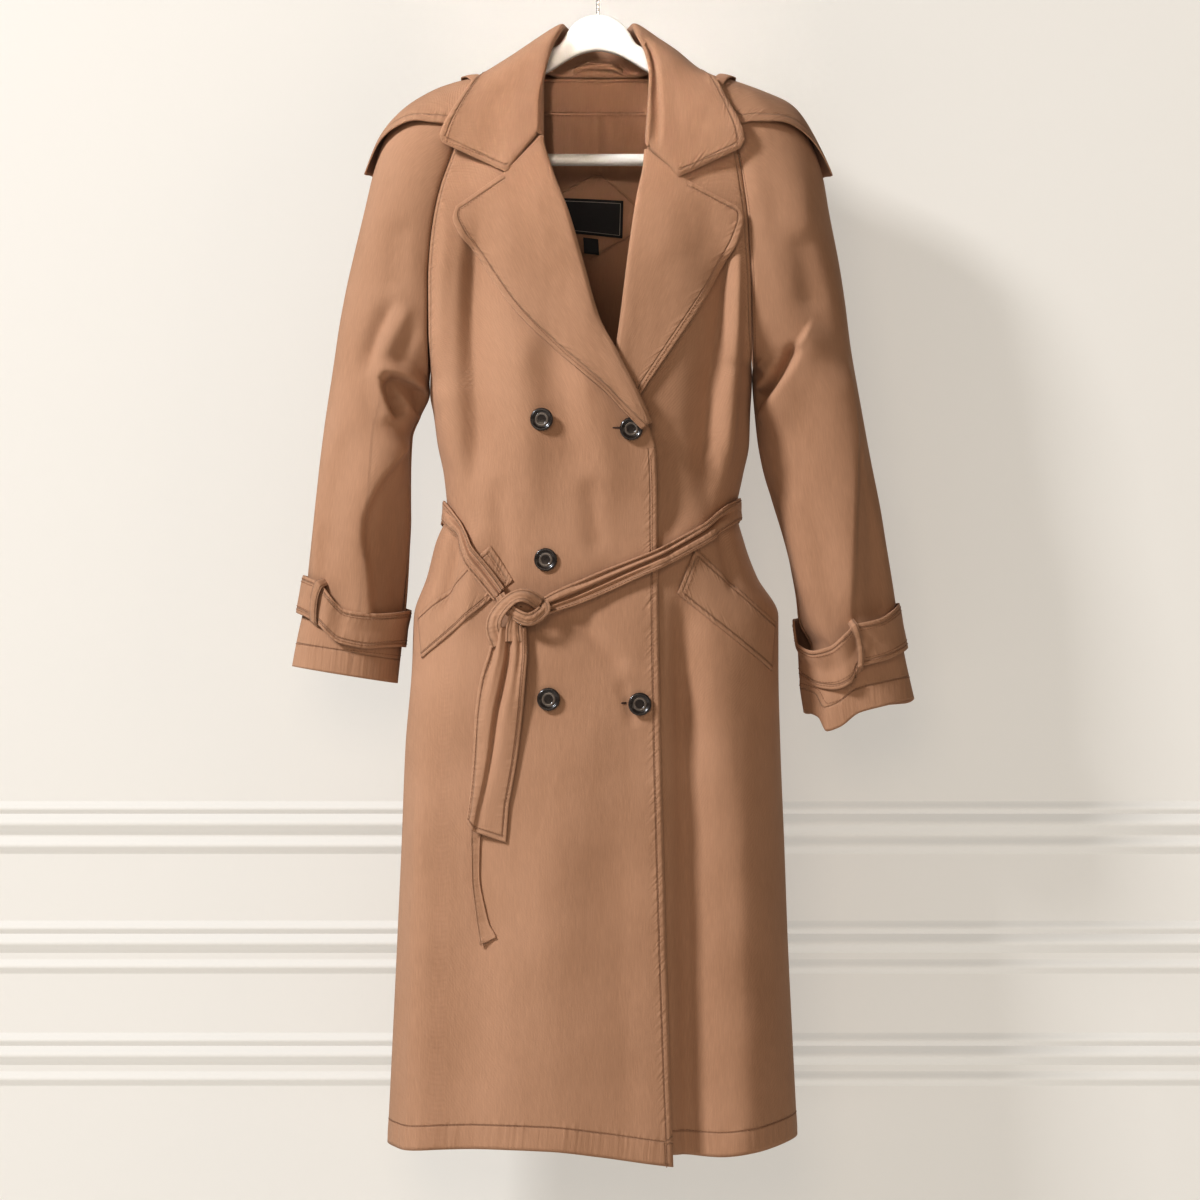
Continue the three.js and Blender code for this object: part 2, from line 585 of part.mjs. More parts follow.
// Half width of the body's section that passes through the seam at this level.
function sectionWidth(face, z, side) {
  const seamDepth = face === 'front' ? side.seamFront(z) : side.seamBack(z);
  const ratio = (seamDepth / bodyDepth[face](z)) ** BODY_POWER;
  return side.seamX(z) / (1 - ratio) ** (1 / BODY_POWER);
}

// Fades the folds of a panel out towards its side or raglan seam.
function seamFade(x, z) {
  const side = x < 0 ? bodySides.right : bodySides.left;
  return ramp(2, 26, side.seamX(z) - Math.abs(x));
}

// A place of the body's front or back, at a rise above the base surface.
function bodyPoint(face, x, z, rise = 0) {
  const side = x < 0 ? bodySides.right : bodySides.left;
  const facing = face === 'front' ? -1 : 1;
  const width = sectionWidth(face, z, side);
  const depth = bodyDepth[face](z);
  const u = Math.min(Math.abs(x) / width, 1);
  const w = (1 - u ** BODY_POWER) ** (1 / BODY_POWER);
  const steep = BODY_POWER - 1;
  const n = vector((side.sign * u ** steep) / width, (facing * w ** steep) / depth, 0).normalize();
  const folds = face === 'front' ? FRONT_FOLDS : BACK_FOLDS;
  const push = rise + foldHeight(folds, x, z) * seamFade(x, z);
  return cell(vector(x, facing * depth * w, z).addScaledVector(n, push), n);
}

// The x places of one body row, evenly spaced round the section.
function rowPlaces(face, z0, z1, from, to, count) {
  const steps = 60;
  const places = [];
  const turnOf = (x, side, z) => {
    const u = Math.min(Math.abs(x) / sectionWidth(face, z, side), 1);
    return side.sign * Math.asin(u ** (BODY_POWER / 2));
  };
  const start = turnOf(from, from < 0 ? bodySides.right : bodySides.left, z0);
  const end = turnOf(to, to < 0 ? bodySides.right : bodySides.left, z1);
  let length = 0;
  let before = null;
  for (let i = 0; i <= steps; i += 1) {
    const turn = mix(start, end, i / steps);
    const z = mix(z0, z1, i / steps);
    const side = turn < 0 ? bodySides.right : bodySides.left;
    const square = 2 / BODY_POWER;
    const x = Math.sign(turn) * sectionWidth(face, z, side) * Math.abs(Math.sin(turn)) ** square;
    const y = bodyDepth[face](z) * Math.abs(Math.cos(turn)) ** square;
    if (before) {
      length += Math.hypot(x - before.x, y - before.y);
    }
    before = { x, y, z, length };
    places.push(before);
  }
  const even = [];
  let k = 0;
  for (let i = 0; i <= count; i += 1) {
    const at = (length * i) / count;
    while (k < steps - 1 && places[k + 1].length < at) {
      k += 1;
    }
    const span = places[k + 1].length - places[k].length;
    const t = THREE.MathUtils.clamp((at - places[k].length) / span, 0, 1);
    even.push({ x: mix(places[k].x, places[k + 1].x, t), z: mix(places[k].z, places[k + 1].z, t) });
  }
  even[0].x = from;
  even[count].x = to;
  return even;
}

// Lowers the rows of the skirt so that the last one follows the hem.
function hemmed(z, x, hem) {
  const down = THREE.MathUtils.clamp((HEM_START - z) / (HEM_START - HEM_LEVEL), 0, 1);
  return z + down * (hem(x) - HEM_LEVEL);
}

// Rise of the over front: on the under front, and higher where the other lapel lies below it.
function overRise(x, z) {
  const roll = ramp(-395, -432, z) * ramp(-640, -560, z) * ramp(-60, -10, x);
  return OVERLAP_RISE * ramp(-140, -85, x) + ROLL_RISE * roll;
}

// A place on a sleeve: row from neck to cuff, turn in radians (0 front, PI/2 outer fold).
function sleevePoint(side, row, turn, rise = 0) {
  const z = side.rowZ(row);
  const inner = vector(side.sign * side.sleeveInX(z), 0, z);
  const outer = vector(side.sign * side.outX(row), 0, side.outZ(row));
  const front = turn < Math.PI / 2;
  const depth = front ? side.front(row) : side.back(row);
  const reach = sleeveReach(side, row, front);
  const along = outer.clone().sub(inner);
  const half = along.length() / (1 + Math.sin(reach));
  along.normalize();
  const p = outer.clone().addScaledVector(along, half * (Math.sin(turn) - 1));
  p.y = -depth * Math.cos(turn);
  const n = along.clone().multiplyScalar(depth * Math.sin(turn));
  n.y = -half * Math.cos(turn);
  n.normalize();
  const over = (turn + reach) / reach;
  const fade = front && row < ARMPIT_ROW + 1 ? ramp(0, 0.6, over) : 1;
  const place = THREE.MathUtils.radToDeg(turn) * TURN_LENGTH;
  const push = rise + foldHeight(side.folds, place, row * ROW_LENGTH) * fade;
  return cell(p.addScaledVector(n, push), n);
}

// How far past the front or back the section turns under, down to the seam.
function sleeveReach(side, row, front) {
  const z = side.rowZ(row);
  const seam = front ? side.seamFront(z) : side.seamBack(z);
  const depth = front ? side.front(row) : side.back(row);
  return Math.acos(Math.min(seam / depth, 1));
}

// Moves the cells of one edge column a little towards the next one.
function trimColumn(grid, index, amount) {
  const next = index === 0 ? 1 : grid[0].length - 2;
  const at = index === 0 ? 0 : grid[0].length - 1;
  for (const row of grid) {
    const way = row[next].p.clone().sub(row[at].p).normalize();
    row[at].p.addScaledVector(way, amount);
  }
}

// Gives two edges that are sewn together the same direction for their wall.
function joinEdges(edgeA, edgeB) {
  edgeA.forEach((a, i) => {
    const shared = a.n.clone().add(edgeB[i].n).normalize();
    a.n = shared;
    edgeB[i].n = shared.clone();
  });
}

// Directions out of a free grid, from its own points; sense turns them round.
function ownDirections(points, sense) {
  const rows = points.length;
  const columns = points[0].length;
  return points.map((row, i) => row.map((p, j) => {
    const u = row[Math.min(j + 1, columns - 1)].clone().sub(row[Math.max(j - 1, 0)]);
    const v = points[Math.min(i + 1, rows - 1)][j].clone().sub(points[Math.max(i - 1, 0)][j]);
    return cell(p, u.cross(v).multiplyScalar(sense).normalize());
  }));
}

// A wall of cloth: the grid is its outer face and the inner face lies one thickness below.
function wall(grid, thickness, ring = false) {
  const rows = grid.length;
  const columns = grid[0].length;
  const positions = [];
  for (const depth of [0, thickness]) {
    for (const { p, n } of grid.flat()) {
      positions.push(...p.clone().addScaledVector(n, -depth));
    }
  }
  const inner = rows * columns;
  const at = (i, j) => i * columns + (j % columns);
  const index = [];
  const quad = (a, b, c, d) => index.push(a, b, c, a, c, d);
  const spans = ring ? columns : columns - 1;
  for (let i = 0; i < rows - 1; i += 1) {
    for (let j = 0; j < spans; j += 1) {
      quad(at(i, j), at(i, j + 1), at(i + 1, j + 1), at(i + 1, j));
      quad(inner + at(i, j), inner + at(i + 1, j), inner + at(i + 1, j + 1), inner + at(i, j + 1));
    }
  }
  for (let j = 0; j < spans; j += 1) {
    quad(at(0, j), inner + at(0, j), inner + at(0, j + 1), at(0, j + 1));
    quad(at(rows - 1, j), at(rows - 1, j + 1), inner + at(rows - 1, j + 1), inner + at(rows - 1, j));
  }
  if (!ring) {
    for (let i = 0; i < rows - 1; i += 1) {
      const last = columns - 1;
      quad(at(i, 0), at(i + 1, 0), inner + at(i + 1, 0), inner + at(i, 0));
      quad(at(i, last), inner + at(i, last), inner + at(i + 1, last), at(i + 1, last));
    }
  }
  return closedBody(positions, index);
}

// A geometry with its faces pointing out.
function closedBody(positions, index) {
  let volume = 0;
  const corner = (k) => vector(...positions.slice(index[k] * 3, index[k] * 3 + 3));
  for (let k = 0; k < index.length; k += 3) {
    volume += corner(k).dot(corner(k + 1).cross(corner(k + 2)));
  }
  if (volume < 0) {
    index.reverse();
  }
  const geometry = new THREE.BufferGeometry();
  geometry.setAttribute('position', new THREE.Float32BufferAttribute(positions, 3));
  geometry.setIndex(index);
  return geometry;
}

function manifoldOf(geometry) {
  const vertProperties = new Float32Array(geometry.attributes.position.array);
  const triVerts = new Uint32Array(geometry.index.array);
  const mesh = new wasm.Mesh({ numProp: 3, vertProperties, triVerts });
  mesh.merge();
  return new wasm.Manifold(mesh);
}

function geometryOf(solid) {
  const mesh = solid.getMesh();
  const geometry = new THREE.BufferGeometry();
  geometry.setAttribute('position', new THREE.BufferAttribute(new Float32Array(mesh.vertProperties), 3));
  geometry.setIndex([...mesh.triVerts]);
  return geometry;
}

const rowsOf = (count, make) => Array.from({ length: count + 1 }, (unused, i) => make(i));

// The place of a panel's facets straight behind (x, z), moved out by a rise; null off the panel.
function onPanel(grid, x, z, rise) {
  const at = vector(x, 0, z);
  const flat = ({ p }) => vector(p.x, 0, p.z);
  for (let i = 0; i < grid.length - 1; i += 1) {
    for (let j = 0; j < grid[0].length - 1; j += 1) {
      const [a, b, c, d] = [grid[i][j], grid[i][j + 1], grid[i + 1][j + 1], grid[i + 1][j]];
      for (const corners of [[a, b, c], [a, c, d]]) {
        const share = THREE.Triangle.getBarycoord(at, ...corners.map(flat), vector());
        if (share && Math.min(share.x, share.y, share.z) > -1e-6) {
          const sum = (key) => vector()
            .addScaledVector(corners[0][key], share.x)
            .addScaledVector(corners[1][key], share.y)
            .addScaledVector(corners[2][key], share.z);
          const n = sum('n').normalize();
          return cell(sum('p').addScaledVector(n, rise), n);
        }
      }
    }
  }
  return null;
}

// The same on the nearest place of the panels along X, the first panel first.
function onPanels(grids, x, z, rise) {
  for (let shift = 0; shift < 14; shift += 0.5) {
    for (const way of [1, -1]) {
      for (const grid of grids) {
        const found = onPanel(grid, x + way * shift, z, rise);
        if (found) {
          return found;
        }
      }
    }
  }
  throw new Error(`no panel near ${x}, ${z}`);
}

function frontPanel(which, sideName) {
  const side = bodySides[sideName];
  return rowsOf(BODY_ROWS, (row) => {
    const z = bodyRowZ(row, side);
    const seam = side.sign * side.seamX(z);
    const places = rowPlaces('front', z, z, seam, edgeX[which](z), FRONT_COLUMNS);
    return places.map(({ x }) => {
      const low = hemmed(z, x, hemZ[which]);
      const point = bodyPoint('front', x, z, which === 'over' ? overRise(x, z) : 0);
      point.p.z += low - z;
      return point;
    });
  });
}

function backPanel() {
  const { right, left } = bodySides;
  return rowsOf(BODY_ROWS, (row) => {
    const zRight = bodyRowZ(row, right);
    const zLeft = bodyRowZ(row, left);
    const seams = [-right.seamX(zRight), left.seamX(zLeft)];
    const places = rowPlaces('back', zRight, zLeft, ...seams, BACK_COLUMNS);
    return places.map(({ x, z }) => {
      const point = bodyPoint('back', x, z);
      point.p.z += hemmed(z, x, hemZ.back) - z;
      return point;
    });
  });
}

function sleevePanel(sideName) {
  const side = bodySides[sideName];
  return rowsOf(side.lastRow, (row) => {
    const start = -sleeveReach(side, row, true);
    const end = Math.PI + sleeveReach(side, row, false);
    const ahead = rowsOf(SLEEVE_HALF, (j) => mix(start, Math.PI / 2, j / SLEEVE_HALF));
    const behind = rowsOf(SLEEVE_HALF, (j) => mix(Math.PI / 2, end, j / SLEEVE_HALF)).slice(1);
    return [...ahead, ...behind].map((turn) => sleevePoint(side, row, turn));
  });
}

const front = { right: frontPanel('over', 'right'), left: frontPanel('under', 'left') };
const back = backPanel();
const sleeve = { right: sleevePanel('right'), left: sleevePanel('left') };

for (const name of ['right', 'left']) {
  const backColumn = name === 'right' ? 0 : back[0].length - 1;
  const lastColumn = sleeve[name][0].length - 1;
  trimColumn(front[name], 0, SEAM_GAP / 2);
  trimColumn(back, backColumn, SEAM_GAP / 2);
  trimColumn(sleeve[name], 0, SEAM_GAP / 2);
  trimColumn(sleeve[name], 1, SEAM_GAP / 2);
  const upper = (grid, column) => grid.slice(0, ARMPIT_ROW + 1).map((row) => row[column]);
  const lower = (grid, column) => grid.slice(ARMPIT_ROW + 1).map((row) => row[column]);
  joinEdges(upper(front[name], 0), upper(sleeve[name], 0));
  joinEdges(upper(back, backColumn), upper(sleeve[name], lastColumn));
  joinEdges(lower(front[name], 0), lower(back, backColumn));
  joinEdges(lower(sleeve[name], 0), lower(sleeve[name], lastColumn));
}

const onFront = (x, z, rise) => onPanels([front.right, front.left], x, z, rise);
const onBack = (x, z, rise) => onPanels([back], x, z, rise);

function collarStation(row, sign) {
  const place = ([x, y, z]) => vector(sign * x, y, z);
  const neck = place(row.neck);
  const crest = place(row.crest);
  const edge = place(row.edge);
  const up = crest.clone().sub(neck);
  const fall = edge.clone().sub(crest);
  const round = Math.min(CREST_ROUND, up.length() * 0.45);
  const over = up.clone().normalize().add(fall.clone().normalize()).normalize().multiplyScalar(round);
  const lowStand = neck.clone().addScaledVector(up, 0.35);
  const highFall = crest.clone().addScaledVector(fall, 0.4);
  const stand = new THREE.CubicBezierCurve3(neck, lowStand, crest.clone().sub(over), crest);
  const leaf = new THREE.CubicBezierCurve3(crest, crest.clone().add(over), highFall, edge);
  const points = [0, 0.45, 0.8].map((t) => stand.getPoint(t));
  for (const t of [0, 0.12, 0.3, NOTCH_AT + 0.14, 0.65, 0.83, 1]) {
    const p = leaf.getPoint(t);
    const out = p.distanceTo(crest) / fall.length();
    const tent = out < NOTCH_AT ? out / NOTCH_AT : (1 - out) / (1 - NOTCH_AT);
    p.z -= row.sag * Math.max(tent, 0);
    const under = onPanel(front[sign < 0 ? 'right' : 'left'], p.x, p.z, COLLAR_RISE);
    if (under && p.y < 0) {
      p.y = Math.min(p.y, under.p.y);
    }
    points.push(p);
  }
  return points;
}

function collarGrid() {
  const right = COLLAR.right.map((row) => collarStation(row, -1));
  const left = COLLAR.left.map((row) => collarStation(row, 1));
  return ownDirections([...right, collarStation(COLLAR.centre, 1), ...left.reverse()], 1);
}

// A lapel starts at its front's edge, turns over in a half round and lies on the front.
function lapelGrid(sideName) {
  const { sign } = bodySides[sideName];
  const table = LAPELS[sideName];
  const free = { x: tableLine(table, 'rollZ', 'edgeX'), z: tableLine(table, 'rollZ', 'edgeZ') };
  const [top, bottom] = [table[0], table[table.length - 1]];
  const rows = front[sideName].map((row) => row[FRONT_COLUMNS].p.z);
  const between = rows.filter((z) => z < top.rollZ - 5 && z > bottom.rollZ + 5);
  const levels = [top.rollZ, ...between, bottom.rollZ];
  const rolls = levels.map((z) => panelEdge(front[sideName], z));
  return levels.map((level, i) => {
    const open = sideName === 'right' ? ramp(-440, -495, level) : 0;
    const rise = mix(LAPEL_RISE, LAPEL_OPEN, open);
    const run = rolls[Math.min(i + 1, rolls.length - 1)].p.clone().sub(rolls[Math.max(i - 1, 0)].p);
    const { p, n: out } = rolls[i];
    const inward = run.cross(out).multiplyScalar(sign).normalize();
    const radius = (rise + CLOTH) / 2;
    const middle = p.clone().addScaledVector(out, radius - CLOTH).addScaledVector(inward, SEAM_GAP);
    const cells = [0, 60, 120].map((degrees) => {
      const turn = radians(degrees);
      const n = out.clone().multiplyScalar(-Math.cos(turn)).addScaledVector(inward, Math.sin(turn));
      return cell(middle.clone().addScaledVector(n, radius), n);
    });
    cells.push(cell(p.clone().addScaledVector(out, rise), out));
    const sag = i === 0 ? top.sag : 0;
    for (const t of [0.2, LAPEL_NOTCH_AT, 0.6, 0.8, 1]) {
      const tent = t < LAPEL_NOTCH_AT ? t / LAPEL_NOTCH_AT : (1 - t) / (1 - LAPEL_NOTCH_AT);
      const z = mix(level, free.z(level), t) - sag * tent;
      cells.push(onPanels([front[sideName]], mix(p.x, free.x(level), t), z, rise));
    }
    return cells;
  });
}

// A place on the buttoned edge of a front.
function panelEdge(grid, z) {
  const edge = grid.map((row) => row[row.length - 1]);
  const i = edge.findIndex(({ p }) => p.z <= z);
  const [above, below] = [edge[i - 1], edge[i]];
  const t = (z - above.p.z) / (below.p.z - above.p.z);
  return cell(above.p.clone().lerp(below.p, t), above.n.clone().lerp(below.n, t).normalize());
}

// The cape lies on the sleeves and the back in their own columns, so that its facets follow them.
function capeGrid() {
  const half = (sideName, row) => {
    const side = bodySides[sideName];
    const end = Math.PI + sleeveReach(side, row.row, false);
    const ahead = rowsOf(CAPE_FRONT - 1, (j) => mix(radians(row.turn), Math.PI / 2, j / CAPE_FRONT));
    const behind = rowsOf(SLEEVE_HALF, (j) => mix(Math.PI / 2, end, j / SLEEVE_HALF));
    return [...ahead, ...behind].map((turn) => {
      const shoulder = Math.exp(-(((turn - Math.PI / 2) / 0.9) ** 2));
      return sleevePoint(side, row.row, turn, CAPE_RISE + row.hang + (row.free - row.hang) * shoulder);
    });
  };
  return CAPE_ROWS.map((row) => {
    const low = Math.floor(row.row);
    const t = row.row - low;
    const across = back[low].slice(1, -1).map(({ p, n }, i) => {
      const q = back[low + 1][i + 1];
      const out = n.clone().lerp(q.n, t).normalize();
      return cell(p.clone().lerp(q.p, t).addScaledVector(out, CAPE_RISE + row.hang), out);
    });
    return [...half('right', row), ...across, ...half('left', row).reverse()];
  });
}

function weltGrid(sideName) {
  const { high, low } = WELTS[sideName];
  const columns = 10;
  return rowsOf(3, (i) => rowsOf(columns, (j) => {
    const [down, t] = [i / 3, j / columns];
    const along = (edge, axis) => mix(edge.outer[axis], edge.inner[axis], t);
    const x = mix(along(high, 0), along(low, 0), down);
    const z = mix(along(high, 1), along(low, 1), down);
    const lay = ramp(0, 0.45, t);
    const riseOf = (edge) => mix(edge.outer, edge.inner, lay);
    return onFront(x, z, mix(riseOf(WELT_RISE.high), riseOf(WELT_RISE.low), down));
  }));
}

// A strip along stations; lean turns each station's section from upright.
function stripGrid(stations) {
  return stations.map(({ x, z, half, lean, rise }) => [-1, 0, 1].map((across) => {
    const offset = across * half;
    return onFront(x + offset * Math.sin(radians(lean)), z + offset * Math.cos(radians(lean)), rise);
  }));
}

function waistGrid() {
  const { rightZ, leftZ, backZ, half, endHalf, rise, endTurn } = BELT_WAIST;
  const count = 24;
  return rowsOf(count, (i) => {
    const t = i / count;
    const turn = mix(-90 - endTurn, 90 + endTurn, t);
    const middle = Math.sin(Math.PI * t);
    const z = mix(mix(rightZ, leftZ, t), backZ, middle);
    const tall = mix(endHalf, half, ramp(0, 0.5, middle));
    const side = turn < 0 ? bodySides.right : bodySides.left;
    const lay = Math.abs(turn) > 90 ? onFront : onBack;
    const u = Math.abs(Math.sin(radians(turn))) ** (2 / BODY_POWER);
    return [-1, 0, 1].map((across) => {
      const level = z + across * tall;
      return lay(side.sign * u * side.seamX(level), level, rise);
    });
  });
}

function knotGeometry() {
  const geometry = welded(new THREE.IcosahedronGeometry(1, 3));
  const position = geometry.attributes.position;
  const seat = onFront(KNOT.x, KNOT.z, KNOT.rise).p;
  const tilt = radians(KNOT.tilt);
  for (let i = 0; i < position.count; i += 1) {
    const p = vector().fromBufferAttribute(position, i);
    const across = (p.x * 0.8 + p.z * 0.6 - KNOT_GROOVE.at) / KNOT_GROOVE.width;
    const groove = 1 - KNOT_GROOVE.depth * Math.exp(-(across ** 2));
    p.set(p.x * KNOT.halfX, p.y * KNOT.halfY * groove, p.z * KNOT.halfZ * groove);
    p.applyAxisAngle(vector(0, 1, 0), -tilt).add(seat);
    position.setXYZ(i, p.x, p.y, p.z);
  }
  return geometry;
}

// The same geometry with one corner wherever faces meet.
function welded(geometry) {
  const loose = geometry.index ? geometry.toNonIndexed() : geometry;
  const source = loose.attributes.position;
  const corners = new Map();
  const positions = [];
  const index = [];
  for (let i = 0; i < source.count; i += 1) {
    const p = vector().fromBufferAttribute(source, i);
    const key = p.toArray().map((value) => Math.round(value * 1e4)).join(' ');
    if (!corners.has(key)) {
      corners.set(key, positions.length / 3);
      positions.push(p.x, p.y, p.z);
    }
    index.push(corners.get(key));
  }
  return closedBody(positions, index);
}

function wideTailGrid() {
  return TAIL_WIDE.map((row, i) => [0, 0.5, 1, 1.5, 2].map((place) => {
    const x = place <= 1 ? mix(row.x0, row.fold, place) : mix(row.fold, row.x1, place - 1);
    const pleat = 1 - Math.abs(place - 1);
    const last = i === TAIL_WIDE.length - 1;
    const z = row.z - (last ? (TAIL_DROP * place) / 2 : 0);
    return onFront(x, z, row.rise - 1.2 * pleat);
  }));
}

function narrowTailGrid() {
  return TAIL_NARROW.map((row) => [0, 0.5, 1].map((place) => {
    const x = mix(row.x0, row.x1, place);
    return onFront(x, row.z + place * 4, row.rise);
  }));
}

function strapSection(sideName, down, turn, rise) {
  const side = bodySides[sideName];
  const strap = CUFF_STRAPS[sideName];
  const end = (name) => {
    const [top, low] = [strap.top[name], strap.low[name]];
    return vector(side.sign * mix(top[0], low[0], down), 0, mix(top[1], low[1], down));
  };
  const inner = end('inner');
  const outer = end('outer');
  const depth = side[Math.cos(turn) > 0 ? 'front' : 'back'](side.lastRow);
  const half = outer.distanceTo(inner) / 2;
  const along = outer.clone().sub(inner).normalize();
  const p = inner.clone().lerp(outer, 0.5).addScaledVector(along, half * Math.sin(turn));
  p.y = -depth * Math.cos(turn);
  const n = along.clone().multiplyScalar(depth * Math.sin(turn));
  n.y = -half * Math.cos(turn);
  n.normalize();
  return cell(p.addScaledVector(n, rise), n);
}

function strapRise(sideName, turn) {
  return STRAP_RISE + CUFF_STRAPS[sideName].bulge * Math.max(Math.cos(turn - 0.5), 0) ** 2;
}

function strapGrid(sideName) {
  const columns = 2 * STRAP_HALF;
  return [0, 1].map((down) => rowsOf(columns - 1, (j) => {
    const turn = (Math.PI * j) / STRAP_HALF;
    return strapSection(sideName, down, turn, strapRise(sideName, turn));
  }));
}

function cuffLoopGrid(sideName) {
  const middle = radians(CUFF_STRAPS[sideName].loopTurn);
  return LOOP_LEVELS.map(({ down, rise }) => [-1, 0, 1].map((across) => {
    const turn = middle + across * LOOP_TURN;
    return strapSection(sideName, down, turn, strapRise(sideName, turn) + rise);
  }));
}

// A piece on the inner face of the back: levels with two ends, laid in columns.
function insideGrid(levels, columns, rise) {
  return levels.map((level) => rowsOf(columns, (j) => {
    const t = j / columns;
    const z = level.z ?? mix(level.z0, level.z1, t);
    const point = onBack(mix(level.x0, level.x1, t), z, rise);
    point.n.negate();
    return point;
  }));
}

function hangerLoopGrid() {
  const { halfWidth, endZ, topZ, endY, middleY, height } = HANGER_LOOP;
  return [0, 1].map((low) => rowsOf(10, (j) => {
    const t = (j / 10) * 2 - 1;
    const z = mix(topZ, endZ, t * t) - low * height;
    return cell(vector(t * halfWidth, mix(middleY, endY, t * t), z), vector(0, -1, 0));
  }));
}

function buttonMesh(name, { x, z }) {
  const profile = BUTTON_PROFILE.map(({ radius, height }) => new THREE.Vector2(radius, height));
  const geometry = new THREE.LatheGeometry(profile, 16);
  const seat = onFront(x, z, SEAM_GAP);
  const mesh = solidMesh(name, geometry, materials.horn);
  mesh.position.copy(seat.p);
  mesh.quaternion.setFromUnitVectors(vector(0, 1, 0), seat.n);
  return mesh;
}

// The top line of the hanger's arm, a little under the inner face of the sleeve's ridge.
function armLine() {
  const under = CLOTH + ARM_GAP;
  const shoulder = SLEEVES.right.rows.slice(0, SHOULDER_ROWS);
  const ridge = shoulder.map((row) => new THREE.Vector2(row.outX, row.outZ));
  return ridge.map((p, i) => {
    const [before, after] = [ridge[Math.max(i - 1, 0)], ridge[Math.min(i + 1, ridge.length - 1)]];
    const run = after.clone().sub(before).normalize();
    return new THREE.Vector2(p.x + run.y * under, p.y - run.x * under);
  });
}

function hangerGeometry() {
  const half = [...HANGER_NECK.map(({ x, z }) => new THREE.Vector2(x, z)), ...armLine()];
  half.push(new THREE.Vector2(HANGER_END.x, HANGER_END.z));
  half.push(...HANGER_LOW.map(({ x, z }) => new THREE.Vector2(x, z)));
  const mirrored = half.slice(1, -1).reverse().map((p) => new THREE.Vector2(-p.x, p.y));
  const shape = new THREE.Shape([...half, ...mirrored]);
  const geometry = new THREE.ExtrudeGeometry(shape, {
    depth: HANGER_THICK - 2 * HANGER_BEVEL,
    bevelThickness: HANGER_BEVEL,
    bevelSize: HANGER_BEVEL * 0.6,
    bevelOffset: -HANGER_BEVEL * 0.6,
    bevelSegments: 2,
    curveSegments: 1,
  });
  geometry.rotateX(Math.PI / 2).translate(0, HANGER_THICK / 2 - HANGER_BEVEL, 0);
  const boreRadius = HOOK_WIRE + SEAM_GAP;
  const bore = new THREE.CylinderGeometry(boreRadius, boreRadius, 2 * (SHANK_DEPTH + 2), 12);
  bore.rotateX(Math.PI / 2).translate(0, 0, HANGER_NECK[0].z);
  return geometryOf(manifoldOf(welded(geometry)).subtract(manifoldOf(welded(bore))));
}

function hookGeometry() {
  const radius = HOOK_RADIUS + HOOK_WIRE;
  const centreZ = -HOOK_RADIUS;
  const foot = vector(0, 0, HANGER_NECK[0].z - SHANK_DEPTH);
  const points = [foot, ...HOOK_NECK.map(({ x, z }) => vector(x, 0, z))];
  for (let degrees = HOOK_TURN.from; degrees <= HOOK_TURN.to; degrees += 15) {
    const turn = radians(degrees);
    points.push(vector(radius * Math.cos(turn), 0, centreZ + radius * Math.sin(turn)));
  }
  const path = new THREE.CatmullRomCurve3(points);
  const section = new THREE.Shape().absarc(0, 0, HOOK_WIRE, 0, Math.PI * 2);
  return new THREE.ExtrudeGeometry(section, { steps: 44, extrudePath: path, curveSegments: 4 });
}

function barGeometry() {
  const bar = new THREE.CylinderGeometry(BAR_RADIUS, BAR_RADIUS, 2 * (BAR_HALF - SEAM_GAP), 20);
  return bar.rotateZ(Math.PI / 2).translate(0, 0, BAR_Z);
}

function finish(color, roughness, metalness = 0) {
  return new THREE.MeshStandardMaterial({ color, roughness, metalness });
}

const materials = {
  cloth: finish('#be8f71', 0.85),
  inside: finish('#a87a5c', 0.88),
  horn: finish('#4a3a30', 0.3),
  label: finish('#15120f', 0.8),
  paint: finish('#f1ece4', 0.4),
  steel: finish('#9a9894', 0.3, 1),
};

function solidMesh(name, geometry, material) {
  const mesh = new THREE.Mesh(geometry, material);
  mesh.name = name;
  return mesh;
}

const coat = new THREE.Group();
const sew = (name, grid, thickness = CLOTH, material = materials.cloth, ring = false) => {
  coat.add(solidMesh(name, wall(grid, thickness, ring), material));
};

sew('back', back);
sew('storm_cape', capeGrid());
sew('collar', collarGrid(), COLLAR_CLOTH);
for (const name of ['right', 'left']) {
  sew(`front_${name}`, front[name]);
  sew(`sleeve_${name}`, sleeve[name]);
  sew(`lapel_${name}`, lapelGrid(name));
  sew(`pocket_welt_${name}`, weltGrid(name));
  sew(`cuff_strap_${name}`, strapGrid(name), BAND, materials.cloth, true);
  sew(`cuff_loop_${name}`, cuffLoopGrid(name), CLOTH);
}
sew('belt_waist', waistGrid(), BAND);
sew('belt_front_right', stripGrid(BELT_RIGHT), BELT_CLOTH);
sew('belt_front_left', stripGrid(BELT_LEFT), BELT_CLOTH);
sew('belt_tail_wide', wideTailGrid(), BELT_CLOTH);
sew('belt_tail_narrow', narrowTailGrid(), BELT_CLOTH);
coat.add(solidMesh('belt_knot', knotGeometry(), materials.cloth));
sew('neck_facing', insideGrid(NECK_FACING, 8, INSIDE_RISE), TRIM, materials.inside);
sew('label_patch', insideGrid(LABEL_PATCH, 4, INSIDE_RISE), TRIM, materials.inside);
sew('neck_label', insideGrid(NECK_LABEL, 6, LABEL_RISE), TRIM, materials.label);
sew('size_tag', insideGrid(SIZE_TAG, 2, LABEL_RISE), TRIM, materials.label);
sew('hanger_loop', hangerLoopGrid(), TRIM, materials.cloth);
BUTTONS.forEach((button, i) => coat.add(buttonMesh(`button_${i + 1}`, button)));

